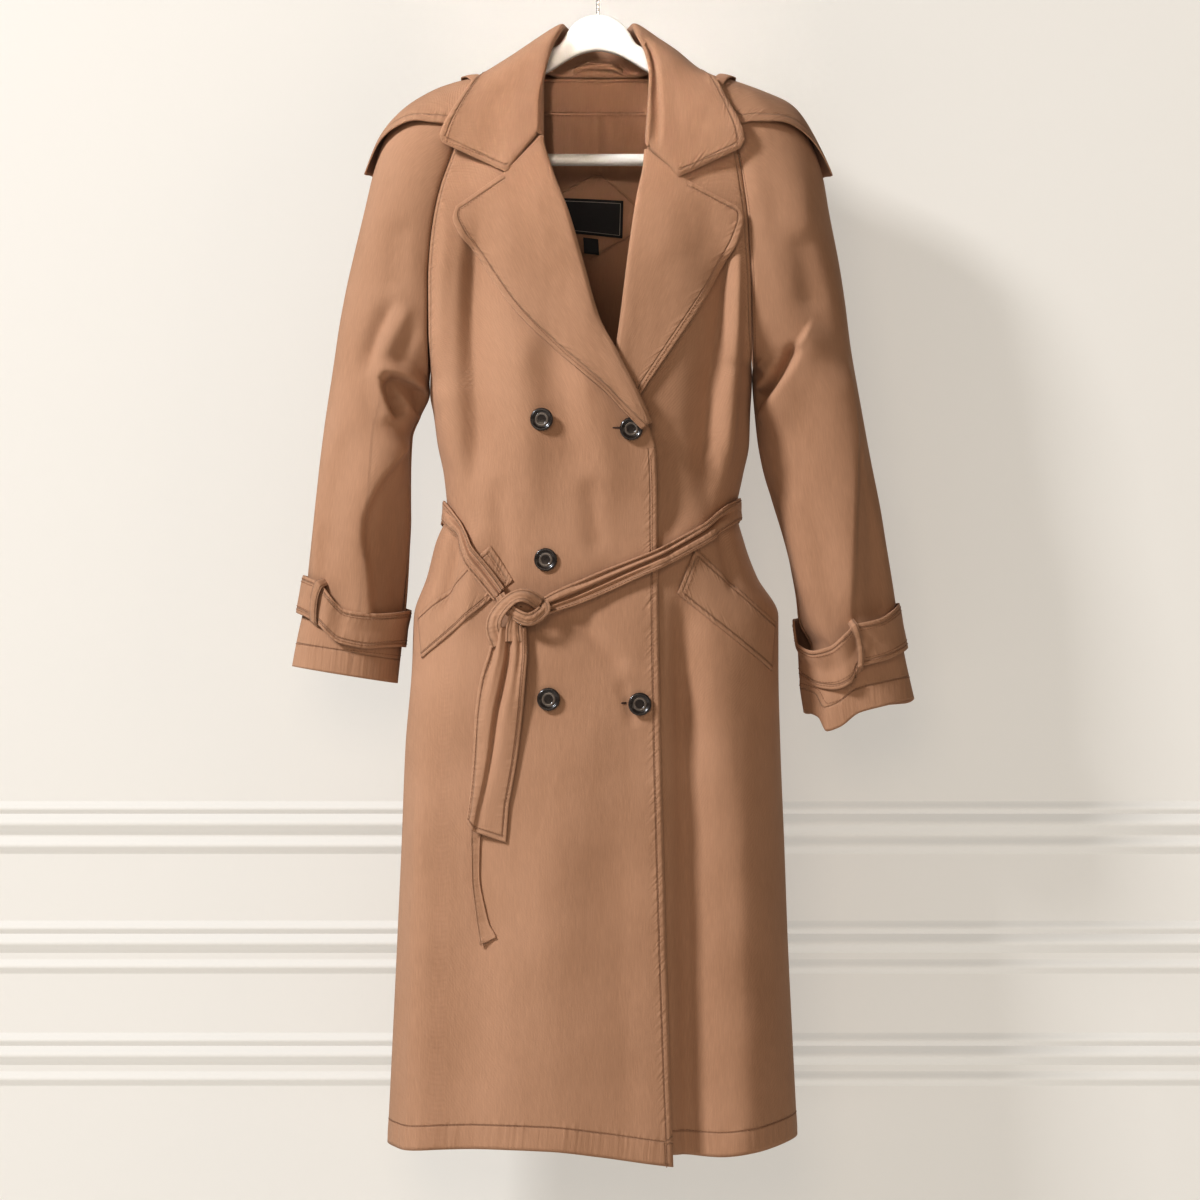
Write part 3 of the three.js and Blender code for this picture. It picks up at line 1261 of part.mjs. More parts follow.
const hanger = new THREE.Group();
hanger.add(solidMesh('hanger_body', hangerGeometry(), materials.paint));
hanger.add(solidMesh('hanger_bar', barGeometry(), materials.paint));
hanger.add(solidMesh('hanger_hook', hookGeometry(), materials.steel));

const part = new THREE.Group();
part.add(coat, hanger);

export default part;
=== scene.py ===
import math
import bpy
import numpy as np
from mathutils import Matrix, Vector


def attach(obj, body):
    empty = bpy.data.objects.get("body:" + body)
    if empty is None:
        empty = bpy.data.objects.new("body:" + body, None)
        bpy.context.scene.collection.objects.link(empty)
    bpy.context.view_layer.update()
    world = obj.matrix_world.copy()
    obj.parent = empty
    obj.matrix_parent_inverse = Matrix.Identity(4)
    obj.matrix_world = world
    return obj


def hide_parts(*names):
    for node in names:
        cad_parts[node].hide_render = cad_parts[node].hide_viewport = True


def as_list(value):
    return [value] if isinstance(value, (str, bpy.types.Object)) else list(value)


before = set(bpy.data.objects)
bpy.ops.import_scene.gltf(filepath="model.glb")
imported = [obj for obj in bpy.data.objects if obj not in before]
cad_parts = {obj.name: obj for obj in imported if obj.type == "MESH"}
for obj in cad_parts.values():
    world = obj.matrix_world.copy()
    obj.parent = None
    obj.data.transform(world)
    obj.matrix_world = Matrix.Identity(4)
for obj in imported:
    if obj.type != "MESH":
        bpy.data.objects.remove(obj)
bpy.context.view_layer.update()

mm = 0.001

scene = bpy.context.scene
chance = np.random.default_rng(11)


# soft lines and steps, all in millimetres
def soft(at, values):
    at, values = np.array(at, float), np.array(values, float)
    order = np.argsort(at)
    at, values = at[order], values[order]
    gap = np.diff(at)
    slope = np.diff(values) / gap
    lean = np.zeros(len(at))
    same = slope[:-1] * slope[1:] > 0
    lean[1:-1][same] = 2 * slope[:-1][same] * slope[1:][same] / (slope[:-1] + slope[1:])[same]
    lean[0], lean[-1] = slope[0], slope[-1]

    def read(x):
        x = np.clip(x, at[0], at[-1])
        i = np.clip(np.searchsorted(at, x) - 1, 0, len(gap) - 1)
        t = (x - at[i]) / gap[i]
        a, b = values[i], values[i + 1]
        c, d = lean[i] * gap[i], lean[i + 1] * gap[i]
        return a + t * (c + t * (3 * (b - a) - 2 * c - d + t * (2 * (a - b) + c + d)))

    return read


def ramp(start, end, value):
    t = np.clip((value - start) / (end - start), 0, 1)
    return t * t * (3 - 2 * t)


def mix(a, b, t):
    return a + (b - a) * t


def unit(v):
    return v / np.maximum(np.linalg.norm(v, axis=-1, keepdims=True), 1e-9)


def throughPoints(points, count):  # a smooth curve through the points, evenly spaced
    points = np.array(points, float)
    if len(points) == 2:
        return mix(points[0], points[1], np.linspace(0, 1, count)[:, None])
    padded = np.vstack([2 * points[0] - points[1], points, 2 * points[-1] - points[-2]])
    fine = []
    for i in range(len(points) - 1):
        a, b, c, d = padded[i : i + 4]
        t = np.linspace(0, 1, 24, endpoint=False)[:, None]
        fine.append(
            0.5 * (2 * b + (c - a) * t + (2 * a - 5 * b + 4 * c - d) * t**2 + (3 * b - a - 3 * c + d) * t**3)
        )
    fine = np.vstack([*fine, points[-1:]])
    length = np.r_[0, np.cumsum(np.linalg.norm(np.diff(fine, axis=0), axis=1))]
    even = np.linspace(0, length[-1], count)
    return np.stack([np.interp(even, length, fine[:, k]) for k in range(fine.shape[1])], axis=1)


def creaseHeight(creases, x, z):  # each crease: its path, its width to either side, its depth
    height = np.zeros(np.broadcast(x, z).shape)
    for crease in creases:
        path = throughPoints(crease["path"], 14)
        nearest = np.full(height.shape, 1e9)
        side = np.zeros(height.shape)
        along = np.zeros(height.shape)
        for i in range(13):
            (ax, az), (bx, bz) = path[i], path[i + 1]
            dx, dz = bx - ax, bz - az
            size = math.hypot(dx, dz)
            low = -9 if i == 0 else 0
            high = 9 if i == 12 else 1
            t = np.clip(((x - ax) * dx + (z - az) * dz) / size**2, low, high)
            offX, offZ = x - ax - t * dx, z - az - t * dz
            away = np.hypot(offX, offZ)
            closer = away < nearest
            nearest = np.where(closer, away, nearest)
            side = np.where(closer, np.sign(offX * dz - offZ * dx), side)
            along = np.where(closer, (i + t) / 13, along)
        left, right = crease["wide"]
        bell = np.exp(-((nearest / np.where(side < 0, left, right)) ** 2))
        fade = crease.get("fade", 0.25)
        ends = ramp(0, fade, along) * ramp(0, fade, 1 - along)
        height += crease["deep"] * ends * bell
    return height


def unevenness(seed, x, z, size, height):  # slow waves that keep the cloth from lying true
    waves = np.random.default_rng(seed)
    total = np.zeros(np.broadcast(x, z).shape)
    for _ in range(7):
        angle = waves.normal(0, 0.5)
        length = size * waves.uniform(0.6, 1.7)
        phase = waves.uniform(0, 6.28)
        run = x * math.cos(angle) + z * math.sin(angle)
        total += np.sin(6.283 * run / length + phase + 0.8 * np.sin(z / size + phase))
    return height * total / 2.6


# the coat's own sizes: what a tailor would change stands first
coat = {
    "cloth": 1.6,
    "seamGap": 0.3,
    "square": 2.6,  # how square the body's rounded section is
    "seamDip": 1.3,  # how far cloth turns in at a seam
    "overlapRise": 3.0,
    "rollRise": 5.2,
    "armpitRow": 11,
    "hemStart": -850.0,
    "hemLevel": -1266.0,
    "stitchIn": 7.0,  # topstitching from an edge
    "hemStitch": 25.0,
    "hemPucker": 44,
}

# inX, inZ, outX, outZ, front, back, seamFront, seamBack from the neck to the cuff
sleeveRows = {
    "right": [
        (72, -139, 56, -110, 28.2, 30.2, 28, 30), (103, -153, 87, -126, 33.4, 36.4, 33, 36),
        (129, -178, 118, -143, 39, 42.5, 38, 42), (147, -207, 150, -152, 43, 47, 42, 46),
        (157, -234, 178, -164, 47, 51, 45, 50), (166, -260, 203, -180, 50, 54, 48, 53),
        (173, -292, 226, -208, 53, 57, 51, 55), (177, -324, 238, -243, 55, 58, 53, 56),
        (179, -360, 249, -287, 56, 58, 53, 55), (179, -413, 260, -338, 55, 56, 49, 50),
        (178, -448, 268, -375, 52, 53, 34, 34), (178, -476, 275, -410, 48, 48, 0, 0),
        (188, -500, 283, -465, 45, 45, 0, 0), (197, -525, 290, -515, 43, 42, 0, 0),
        (198, -560, 296, -560, 41, 40, 0, 0), (198, -605, 301, -610, 40, 38, 0, 0),
        (201, -650, 306, -655, 39, 37, 0, 0), (204, -695, 311, -695, 38, 37, 0, 0),
        (208, -740, 318, -730, 38, 37, 0, 0), (213, -783, 324, -765, 38, 37, 0, 0),
    ],
    "left": [
        (72, -139, 56, -110, 28.2, 30.2, 28, 30), (107, -153, 87, -126, 33.4, 36.4, 33, 36),
        (130, -178, 118, -143, 39, 42.5, 38, 42), (142, -207, 150, -152, 43, 47, 42, 46),
        (148, -229, 178, -164, 47, 51, 45, 50), (153, -259, 203, -180, 50, 54, 48, 53),
        (157, -291, 222, -208, 53, 57, 51, 55), (159, -324, 237, -243, 55, 58, 53, 56),
        (161, -360, 246, -287, 56, 58, 53, 55), (162, -408, 256, -340, 55, 56, 49, 50),
        (163, -438, 262, -380, 52, 53, 34, 34), (163, -460, 268, -425, 48, 48, 0, 0),
        (168, -515, 281, -500, 46, 45, 0, 0), (175, -555, 290, -550, 44, 43, 0, 0),
        (185, -592, 298, -595, 42, 41, 0, 0), (194, -625, 304, -635, 41, 39, 0, 0),
        (203, -665, 311, -675, 40, 38, 0, 0), (211, -710, 318, -715, 39, 38, 0, 0),
        (212, -760, 326, -757, 39, 38, 0, 0), (218, -812, 335, -799, 39, 38, 0, 0),
    ],
}
sideSeams = {  # level, right, left
    "levels": [-500, -530, -565, -600, -635, -670, -712, -765, -850, -950, -1060, -1165, -1266],
    "right": [174, 170, 163, 160, 172, 181, 195, 197, 204, 208, 213, 218, 223],
    "left": [161, 160, 153, 147, 155, 168, 191, 191, 193, 197, 201, 206, 211],
}
bodyDepths = [  # level, front, back
    (-139, 33, 34), (-153, 37, 38), (-178, 43, 45), (-207, 50, 52), (-234, 56, 57), (-260, 62, 61),
    (-292, 68, 64), (-324, 72, 66), (-360, 76, 68), (-413, 82, 70), (-476, 88, 72), (-530, 88, 72),
    (-565, 87, 70), (-600, 86, 68), (-635, 90, 72), (-670, 94, 76), (-712, 97, 79), (-850, 104, 84),
    (-1290, 106, 88),
]
frontEdges = {  # level, x
    "over": [
        (-139, -60), (-208, -60), (-240, -52), (-291, -33), (-343, -18), (-402, -1), (-440, 19), (-486, 40),
        (-517, 53), (-540, 59), (-612, 61), (-800, 64), (-1006, 69), (-1290, 79),
    ],
    "under": [
        (-139, 57), (-213, 52), (-240, 50), (-274, 43), (-335, 34), (-407, 25), (-438, 20), (-483, 5),
        (-540, -20), (-600, -45), (-650, -62), (-1290, -62),
    ],
}
hems = {
    "over": [(-223, -1268), (-200, -1270), (-165, -1268), (-100, -1266), (-50, -1267), (2, -1273),
        (44, -1279), (80, -1284)],
    "under": [(-62, -1261), (30, -1267), (82, -1272), (127, -1275), (158, -1271), (191, -1265), (211, -1260)],
    "back": [(-223, -1268), (-110, -1264), (0, -1266), (110, -1262), (211, -1260)],
}


def eased(read, low, high, reach):  # the same line with its bends spread over the reach
    at = np.linspace(low, high, 600)
    step = np.arange(-60, 61) * (at[1] - at[0])
    weight = np.exp(-((step / reach) ** 2))
    padded = np.r_[np.full(60, read(low)), read(at), np.full(60, read(high))]
    return soft(at, np.convolve(padded, weight / weight.sum(), "valid"))


bodyDepth = {
    face: eased(soft([r[0] for r in bodyDepths], [r[k] for r in bodyDepths]), -1290, -139, 34)
    for face, k in (("front", 1), ("back", 2))
}
edgeX = {name: soft(*zip(*rows)) for name, rows in frontEdges.items()}
hemZ = {name: soft(*zip(*rows)) for name, rows in hems.items()}


def makeSide(name, sign):
    rows = sleeveRows[name]
    column = list(zip(*rows))
    number = list(range(len(rows)))
    top = coat["armpitRow"] + 1
    levels = list(column[1][:top]) + sideSeams["levels"]
    places = list(column[0][:top]) + sideSeams[name]
    return {
        "sign": sign,
        "seamX": soft(levels, places),
        "rowZ": soft(number, column[1]),
        "inX": soft(number, column[0]),
        "outX": soft(number, column[2]),
        "outZ": soft(number, column[3]),
        "front": soft(number, column[4]),
        "back": soft(number, column[5]),
        "seamFront": soft(column[1], column[6]),
        "seamBack": soft(column[1], column[7]),
        "seamFrontRow": soft(number, column[6]),
        "seamBackRow": soft(number, column[7]),
        "last": len(rows) - 1,
    }


sides = {"right": makeSide("right", -1), "left": makeSide("left", 1)}

# folds seen on the front, in the front view; the same list bends the fronts and what lies on them
frontCreases = [
    {"path": [(-162, -265), (-172, -420), (-165, -600)], "wide": (11, 8), "deep": 9},
    {"path": [(-128, -270), (-136, -420), (-132, -600)], "wide": (30, 9), "deep": -15},
    {"path": [(-84, -395), (-76, -500), (-66, -640)], "wide": (20, 26), "deep": 6},
    {"path": [(-52, -400), (-38, -480), (-12, -580)], "wide": (14, 20), "deep": -6},
    {"path": [(-24, -440), (-4, -510), (24, -600)], "wide": (22, 12), "deep": 4},
    {"path": [(-8, -560), (-4, -610), (2, -653)], "wide": (9, 12), "deep": -4},
    {"path": [(66, -500), (74, -560), (76, -640)], "wide": (18, 6), "deep": -6},
    {"path": [(86, -668), (88, -760), (90, -860)], "wide": (18, 9), "deep": -9, "fade": 0.3},
    {"path": [(88, -700), (93, -1000), (98, -1700)], "wide": (24, 12), "deep": -19, "fade": 0.16},
    {"path": [(152, -280), (146, -390), (134, -500), (128, -612)], "wide": (12, 5), "deep": 10},
    {"path": [(139, -290), (131, -400), (120, -505), (113, -612)], "wide": (5, 24), "deep": -14},
    {"path": [(-180, -760), (-186, -1100), (-186, -1700)], "wide": (18, 22), "deep": 8},
    {"path": [(-136, -800), (-136, -1000), (-142, -1700)], "wide": (34, 26), "deep": -5},
    {"path": [(-50, -760), (-40, -1000), (-36, -1700)], "wide": (34, 34), "deep": 4},
    {"path": [(148, -800), (152, -1000), (156, -1700)], "wide": (26, 18), "deep": 7},
    {"path": [(20, -900), (28, -1050), (30, -1300)], "wide": (20, 28), "deep": -2.4},
    {"path": [(-146, -604), (-152, -650), (-164, -720)], "wide": (6, 8), "deep": -9},
    {"path": [(122, -612), (132, -648), (142, -690)], "wide": (9, 4), "deep": -6},
    {"path": [(-126, -610), (-132, -670), (-140, -740)], "wide": (10, 8), "deep": 4},
    {"path": [(-24, -700), (4, -740), (34, -770)], "wide": (7, 12), "deep": -4},
    {"path": [(20, -776), (31, -798), (38, -830)], "wide": (5, 6), "deep": -3.4},
    {"path": [(-104, -560), (-100, -640), (-98, -690)], "wide": (10, 10), "deep": -5},
]
sleeveCreases = [
    {"path": [(-166, -490), (-190, -474), (-207, -465), (-221, -463), (-221, -478), (-210, -506)],
     "wide": (14, 2.2), "deep": -14, "fade": 0.12},
    {"path": [(-178, -474), (-194, -463), (-208, -456), (-228, -455), (-228, -476), (-215, -510)],
     "wide": (2.4, 10), "deep": 5, "fade": 0.12},
    {"path": [(-210, -370), (-234, -420), (-247, -466)], "wide": (6, 12), "deep": -7, "fade": 0.35},
    {"path": [(-192, -380), (-212, -412), (-229, -448)], "wide": (8, 8), "deep": 3.4},
    {"path": [(-184, -400), (-200, -430), (-212, -456)], "wide": (8, 8), "deep": -3},
    {"path": [(-196, -522), (-220, -552), (-238, -582), (-249, -612), (-249, -640), (-244, -670),
        (-241, -730)], "wide": (5, 26), "deep": 9, "fade": 0.1},
    {"path": [(-196, -556), (-214, -620), (-212, -730)], "wide": (22, 20), "deep": -8},
    {"path": [(-262, -500), (-278, -580), (-285, -680)], "wide": (14, 12), "deep": -4},
    {"path": [(-298, -540), (-298, -600), (-296, -700)], "wide": (4, 8), "deep": 3},
    {"path": [(230, -396), (208, -436), (188, -472), (163, -514)], "wide": (30, 3.5), "deep": 10},
    {"path": [(212, -424), (188, -464), (164, -496)], "wide": (5, 7), "deep": -13, "fade": 0.2},
    {"path": [(158, -436), (178, -448), (180, -461), (164, -474)], "wide": (6, 6), "deep": 7, "fade": 0.2},
    {"path": [(258, -430), (269, -520), (268, -620), (264, -730)], "wide": (4, 26), "deep": 8, "fade": 0.15},
    {"path": [(284, -520), (292, -600), (290, -730)], "wide": (14, 12), "deep": -6, "fade": 0.2},
    {"path": [(270, -500), (290, -581), (306, -660)], "wide": (8, 5), "deep": 3},
    {"path": [(196, -560), (216, -640), (228, -720)], "wide": (18, 18), "deep": 4},
    {"path": [(214, -300), (222, -360), (226, -400)], "wide": (16, 16), "deep": -4},
    {"path": [(-208, -290), (-214, -330), (-214, -380)], "wide": (16, 16), "deep": -4},
]
backCreases = [
    {"path": [(-120, -330), (-126, -450), (-118, -590)], "wide": (12, 15), "deep": -12},
    {"path": [(-66, -360), (-62, -480), (-70, -600)], "wide": (20, 20), "deep": 8},
    {"path": [(8, -380), (2, -480), (-4, -600)], "wide": (14, 18), "deep": -7},
    {"path": [(64, -350), (60, -470), (70, -600)], "wide": (20, 20), "deep": 8},
    {"path": [(118, -330), (124, -450), (112, -590)], "wide": (15, 12), "deep": -12},
    {"path": [(-138, -660), (-150, -1000), (-150, -1600)], "wide": (22, 26), "deep": -12},
    {"path": [(-72, -650), (-80, -1000), (-84, -1600)], "wide": (26, 30), "deep": 9},
    {"path": [(-6, -640), (-12, -1000), (-10, -1600)], "wide": (24, 28), "deep": -13},
    {"path": [(70, -650), (74, -1000), (78, -1600)], "wide": (28, 28), "deep": 9},
    {"path": [(132, -660), (138, -1000), (142, -1600)], "wide": (22, 26), "deep": -12},
    {"path": [(-190, -500), (-214, -560), (-246, -610)], "wide": (12, 9), "deep": 5},
    {"path": [(184, -490), (206, -560), (240, -620)], "wide": (9, 12), "deep": 5},
    {"path": [(-214, -300), (-220, -380), (-236, -450)], "wide": (14, 16), "deep": -4},
    {"path": [(212, -300), (220, -380), (232, -450)], "wide": (16, 14), "deep": -4},
    {"path": [(-258, -640), (-262, -700), (-270, -760)], "wide": (12, 14), "deep": -3},
    {"path": [(256, -640), (264, -700), (272, -770)], "wide": (14, 12), "deep": -3},
]


def bySide(x, read):
    return np.where(x < 0, read(sides["right"]), read(sides["left"]))


def sectionWidth(face, z, side):
    seam = side["seamFront" if face == "front" else "seamBack"](z)
    ratio = np.minimum((seam / bodyDepth[face](z)) ** coat["square"], 0.98)
    return side["seamX"](z) / (1 - ratio) ** (1 / coat["square"])


for side in sides.values():
    side["easedWidth"] = {
        face: eased(lambda z, f=face, s=side: sectionWidth(f, z, s), -1290, -139,
            60) for face in ("front", "back")
    }


def bodyPoint(face, x, z, rise=0.0):  # a place of the body and the way out of it
    x, z = np.broadcast_arrays(np.asarray(x, float), np.asarray(z, float))
    power = coat["square"]
    way = -1 if face == "front" else 1
    near = ramp(0.6, 1, np.abs(x) / bySide(x, lambda side: side["seamX"](z)))
    exact = bySide(x, lambda side: sectionWidth(face, z, side))
    width = mix(bySide(x, lambda side: side["easedWidth"][face](z)), exact, near)
    depth = bodyDepth[face](z)
    u = np.minimum(np.abs(x) / width, 1)
    w = (1 - u**power) ** (1 / power)
    out = unit(np.stack([np.sign(x) * u ** (power - 1) / width, way * w ** (power - 1) / depth, 0 * x],
        axis=-1))
    seam = bySide(x, lambda side: side["seamX"](z)) - np.abs(x)
    creases = frontCreases if face == "front" else backCreases
    folds = creaseHeight(creases, x, z) + unevenness(3 if way < 0 else 5, x, z, 120, 1.1)
    push = rise + folds * ramp(2, 26, seam)
    return np.stack([x, way * depth * w, z], axis=-1) + out * push[..., None], out


def overRise(x, z):
    roll = ramp(-395, -432, z) * ramp(-640, -560, z) * ramp(-60, -10, x)
    return coat["overlapRise"] * ramp(-140, -85, x) + coat["rollRise"] * roll


def onFront(x, z, rise, panel=None):
    x, z = np.broadcast_arrays(np.asarray(x, float), np.asarray(z, float))
    over = ramp(edgeX["over"](z) + 14, edgeX["over"](z), x) if panel is None else float(panel == "over")
    return bodyPoint("front", x, z, rise + over * overRise(x, z))


cuffDip = soft([205, 216, 232, 241, 254, 275, 300, 335], [-6, 0, 8, 24, 21, 8, 4, 0])


def sleeveReach(side, row, isFront):
    seam = side["seamFrontRow" if isFront else "seamBackRow"](row)
    depth = side["front" if isFront else "back"](row)
    return np.arccos(np.clip(seam / depth, 0, 1))


def sleevePoint(side, row, turn, rise=0.0):  # turn 0 is the front, pi/2 the outer fold
    row, turn = np.broadcast_arrays(np.asarray(row, float), np.asarray(turn, float))
    isFront = turn < math.pi / 2
    depth = np.where(isFront, side["front"](row), side["back"](row))
    reach = np.where(isFront, sleeveReach(side, row, True), sleeveReach(side, row, False))
    inner = np.stack([side["sign"] * side["inX"](row), 0 * row, side["rowZ"](row)], axis=-1)
    outer = np.stack([side["sign"] * side["outX"](row), 0 * row, side["outZ"](row)], axis=-1)
    along = outer - inner
    half = np.linalg.norm(along, axis=-1) / (1 + np.sin(reach))
    along = unit(along)
    place = outer + along * (half * (np.sin(turn) - 1))[..., None]
    place[..., 1] = -depth * np.cos(turn)
    out = along * (depth * np.sin(turn))[..., None]
    out[..., 1] = -half * np.cos(turn)
    out = unit(out)
    facing = np.cos(turn)
    x, z = place[..., 0], place[..., 2]
    edge = np.minimum(ramp(0, 0.5, turn + reach + 0.0), ramp(0, 0.5, math.pi + reach - turn))
    seamed = ramp(coat["armpitRow"] + 1.5, coat["armpitRow"] - 0.5, row)
    fade = mix(1, edge, seamed)
    folds = creaseHeight(sleeveCreases, x, z) * ramp(0.05, 0.55, facing)
    folds += creaseHeight(backCreases[-6:], x, z) * ramp(0.05, 0.55, -facing)
    folds += unevenness(7 + side["sign"], x + 60 * turn, z, 110, 1.0)
    place = place + out * (rise + folds * fade)[..., None]
    if side["sign"] > 0:
        pinch = 15 * np.exp(-(((z + 746) / 20) ** 2)) * ramp(0.1, -0.9, np.sin(turn))
        place[..., 0] += pinch
        dip = cuffDip(x) * ramp(-0.2, 0.5, facing) + 5 * ramp(-0.2, 0.5, -facing)
        place[..., 2] -= dip * ramp(side["last"] - 3, side["last"], row)
    return place, out


def rowPlaces(face, zRight, zLeft, start, end, shares):  # x and level of one row, even along the cloth
    power = coat["square"]
    steps = np.linspace(0, 1, 121)

    def turnOf(x, z):
        side = sides["right"] if x < 0 else sides["left"]
        return np.sign(x) * np.arcsin(min(abs(x) / sectionWidth(face, z, side), 1) ** (power / 2))

    turn = mix(turnOf(start, zRight), turnOf(end, zLeft), steps)
    z = mix(zRight, zLeft, steps)
    width = np.where(turn < 0, sectionWidth(face, z, sides["right"]), sectionWidth(face, z, sides["left"]))
    x = np.sign(turn) * width * np.abs(np.sin(turn)) ** (2 / power)
    y = bodyDepth[face](z) * np.abs(np.cos(turn)) ** (2 / power)
    length = np.r_[0, np.cumsum(np.hypot(np.diff(x), np.diff(y)))]
    even = shares * length[-1]
    x, z = np.interp(even, length, x), np.interp(even, length, z)
    x[0], x[-1] = start, end
    return x, z


def hemmed(z, x, which):
    down = np.clip((coat["hemStart"] - z) / (coat["hemStart"] - coat["hemLevel"]), 0, 1)
    return z + down * (hemZ[which](x) - coat["hemLevel"])


def shares(count, crowd=0.45):  # 0 to 1, closer together at both ends
    t = np.linspace(0, 1, count)
    return mix(t, 0.5 - 0.5 * np.cos(math.pi * t), crowd)


# cloth walls and solids, and the values that the cloth carries
def lengths(grid, axis):  # distance along the cloth from its first row or column
    steps = np.linalg.norm(np.diff(grid, axis=axis), axis=-1)
    start = np.zeros_like(np.take(steps, [0], axis=axis))
    return np.cumsum(np.concatenate([start, steps], axis=axis), axis=axis)


def gridNormals(grid, sense, ring=False):
    across = np.gradient(grid, axis=1)
    if ring:
        across = (np.roll(grid, -1, axis=1) - np.roll(grid, 1, axis=1)) / 2
    down = np.gradient(grid, axis=0)
    return unit(np.cross(across, down)) * sense


def smoothed(grid, times, keep=1):  # evens a grid out and leaves its border where it is
    grid = grid.copy()
    for _ in range(times):
        middle = (grid[:-2, 1:-1] + grid[2:, 1:-1] + grid[1:-1, :-2] + grid[1:-1, 2:]) / 4
        grid[1:-1, 1:-1] = mix(grid[1:-1, 1:-1], middle, 0.5 * keep)
    return grid


def addMesh(name, points, faces, slots, materials, uv=None, seam=None):
    mesh = bpy.data.meshes.new(name)
    mesh.from_pydata((np.asarray(points) * mm).tolist(), [], faces)
    for material in materials:
        mesh.materials.append(material)
    mesh.polygons.foreach_set("material_index", slots)
    mesh.polygons.foreach_set("use_smooth", [True] * len(faces))
    if uv is not None:
        layer = mesh.uv_layers.new(name="cut")
        corner = np.empty(len(mesh.loops), int)
        mesh.loops.foreach_get("vertex_index", corner)
        layer.data.foreach_set("uv", (uv[corner] * mm).ravel())
    if seam is not None:
        for key, values in (("fromSeam", seam[:, 0]), ("alongSeam", seam[:, 1])):
            attribute = mesh.attributes.new(key, "FLOAT", "POINT")
            attribute.data.foreach_set("value", values.astype(np.float32))
    mesh.update()
    piece = bpy.data.objects.new(name, mesh)
    scene.collection.objects.link(piece)
    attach(piece, "root")
    return piece


def cloth(name, grid, thickness, materials, sense=1, seam=None, ring=False, anchor=0.5):
    # a wall of cloth from the grid of its outer face; seam is (distance from, place along) a stitched edge
    # and anchor the share across at which the grain runs straight down
    rows, columns = grid.shape[:2]
    out = gridNormals(grid, sense, ring)
    points = np.vstack([grid.reshape(-1, 3), (grid - out * thickness).reshape(-1, 3)])
    size = rows * columns
    i, j = np.meshgrid(np.arange(rows - 1), np.arange(columns if ring else columns - 1), indexing="ij")
    a = i * columns + j
    b = i * columns + (j + 1) % columns
    quads = np.stack([a, b, b + columns, a + columns], axis=-1).reshape(-1, 4)
    if sense < 0:
        quads = quads[:, ::-1]
    back = quads[:, ::-1] + size
    faces = [*quads.tolist(), *back.tolist()]
    slots = [0] * len(quads) + [1 if len(materials) > 1 else 0] * len(quads)
    rim = []
    for line in (0, rows - 1):
        for k in range(columns if ring else columns - 1):
            p, q = line * columns + k, line * columns + (k + 1) % columns
            rim.append((p, q, q + size, p + size) if (line > 0) == (sense > 0) else (q, p, p + size,
                q + size))
    if not ring:
        for line in (0, columns - 1):
            for k in range(rows - 1):
                p, q = k * columns + line, (k + 1) * columns + line
                rim.append((p, q, q + size, p + size) if (line == 0) == (sense > 0) else (q, p, p + size,
                    q + size))
    faces += rim
    slots += [0] * len(rim)
    across = lengths(grid, 1)
    column = round(anchor * (columns - 1))
    flat = np.stack([across - across[:, column : column + 1], -lengths(grid, 0)], axis=-1).reshape(-1, 2)
    flat += chance.uniform(0, 400, 2)
    edge = np.full((size, 2), 99.0) if seam is None else np.stack([seam[0], seam[1]], axis=-1).reshape(-1, 2)
    inside = edge.copy()
    inside[:, 0] = 99
    piece = addMesh(name, points, faces, slots, materials, np.vstack([flat, flat]), np.vstack([edge, inside]))
    return piece


# materials, with the node groups that they share
def node(tree, kind, place=(0, 0), **settings):
    made = tree.nodes.new(kind)
    made.location = place
    for key, value in settings.items():
        if hasattr(made, key):
            setattr(made, key, value)
        else:
            made.inputs[key].default_value = value
    return made


def mathNode(tree, operation, a, b=None, clamp=False):
    made = tree.nodes.new("ShaderNodeMath")
    made.operation = operation
    made.use_clamp = clamp
    for socket, value in zip(made.inputs, (a, b)):
        if value is None:
            continue
        if isinstance(value, (int, float)):
            socket.default_value = value
        else:
            tree.links.new(value, socket)
    return made.outputs[0]


def newGroup(name, inputs, outputs):
    group = bpy.data.node_groups.new(name, "ShaderNodeTree")
    for label, kind, value in inputs:
        socket = group.interface.new_socket(label, in_out="INPUT", socket_type=kind)
        socket.default_value = value
    for label, kind in outputs:
        group.interface.new_socket(label, in_out="OUTPUT", socket_type=kind)
    return group, group.nodes.new("NodeGroupInput"), group.nodes.new("NodeGroupOutput")


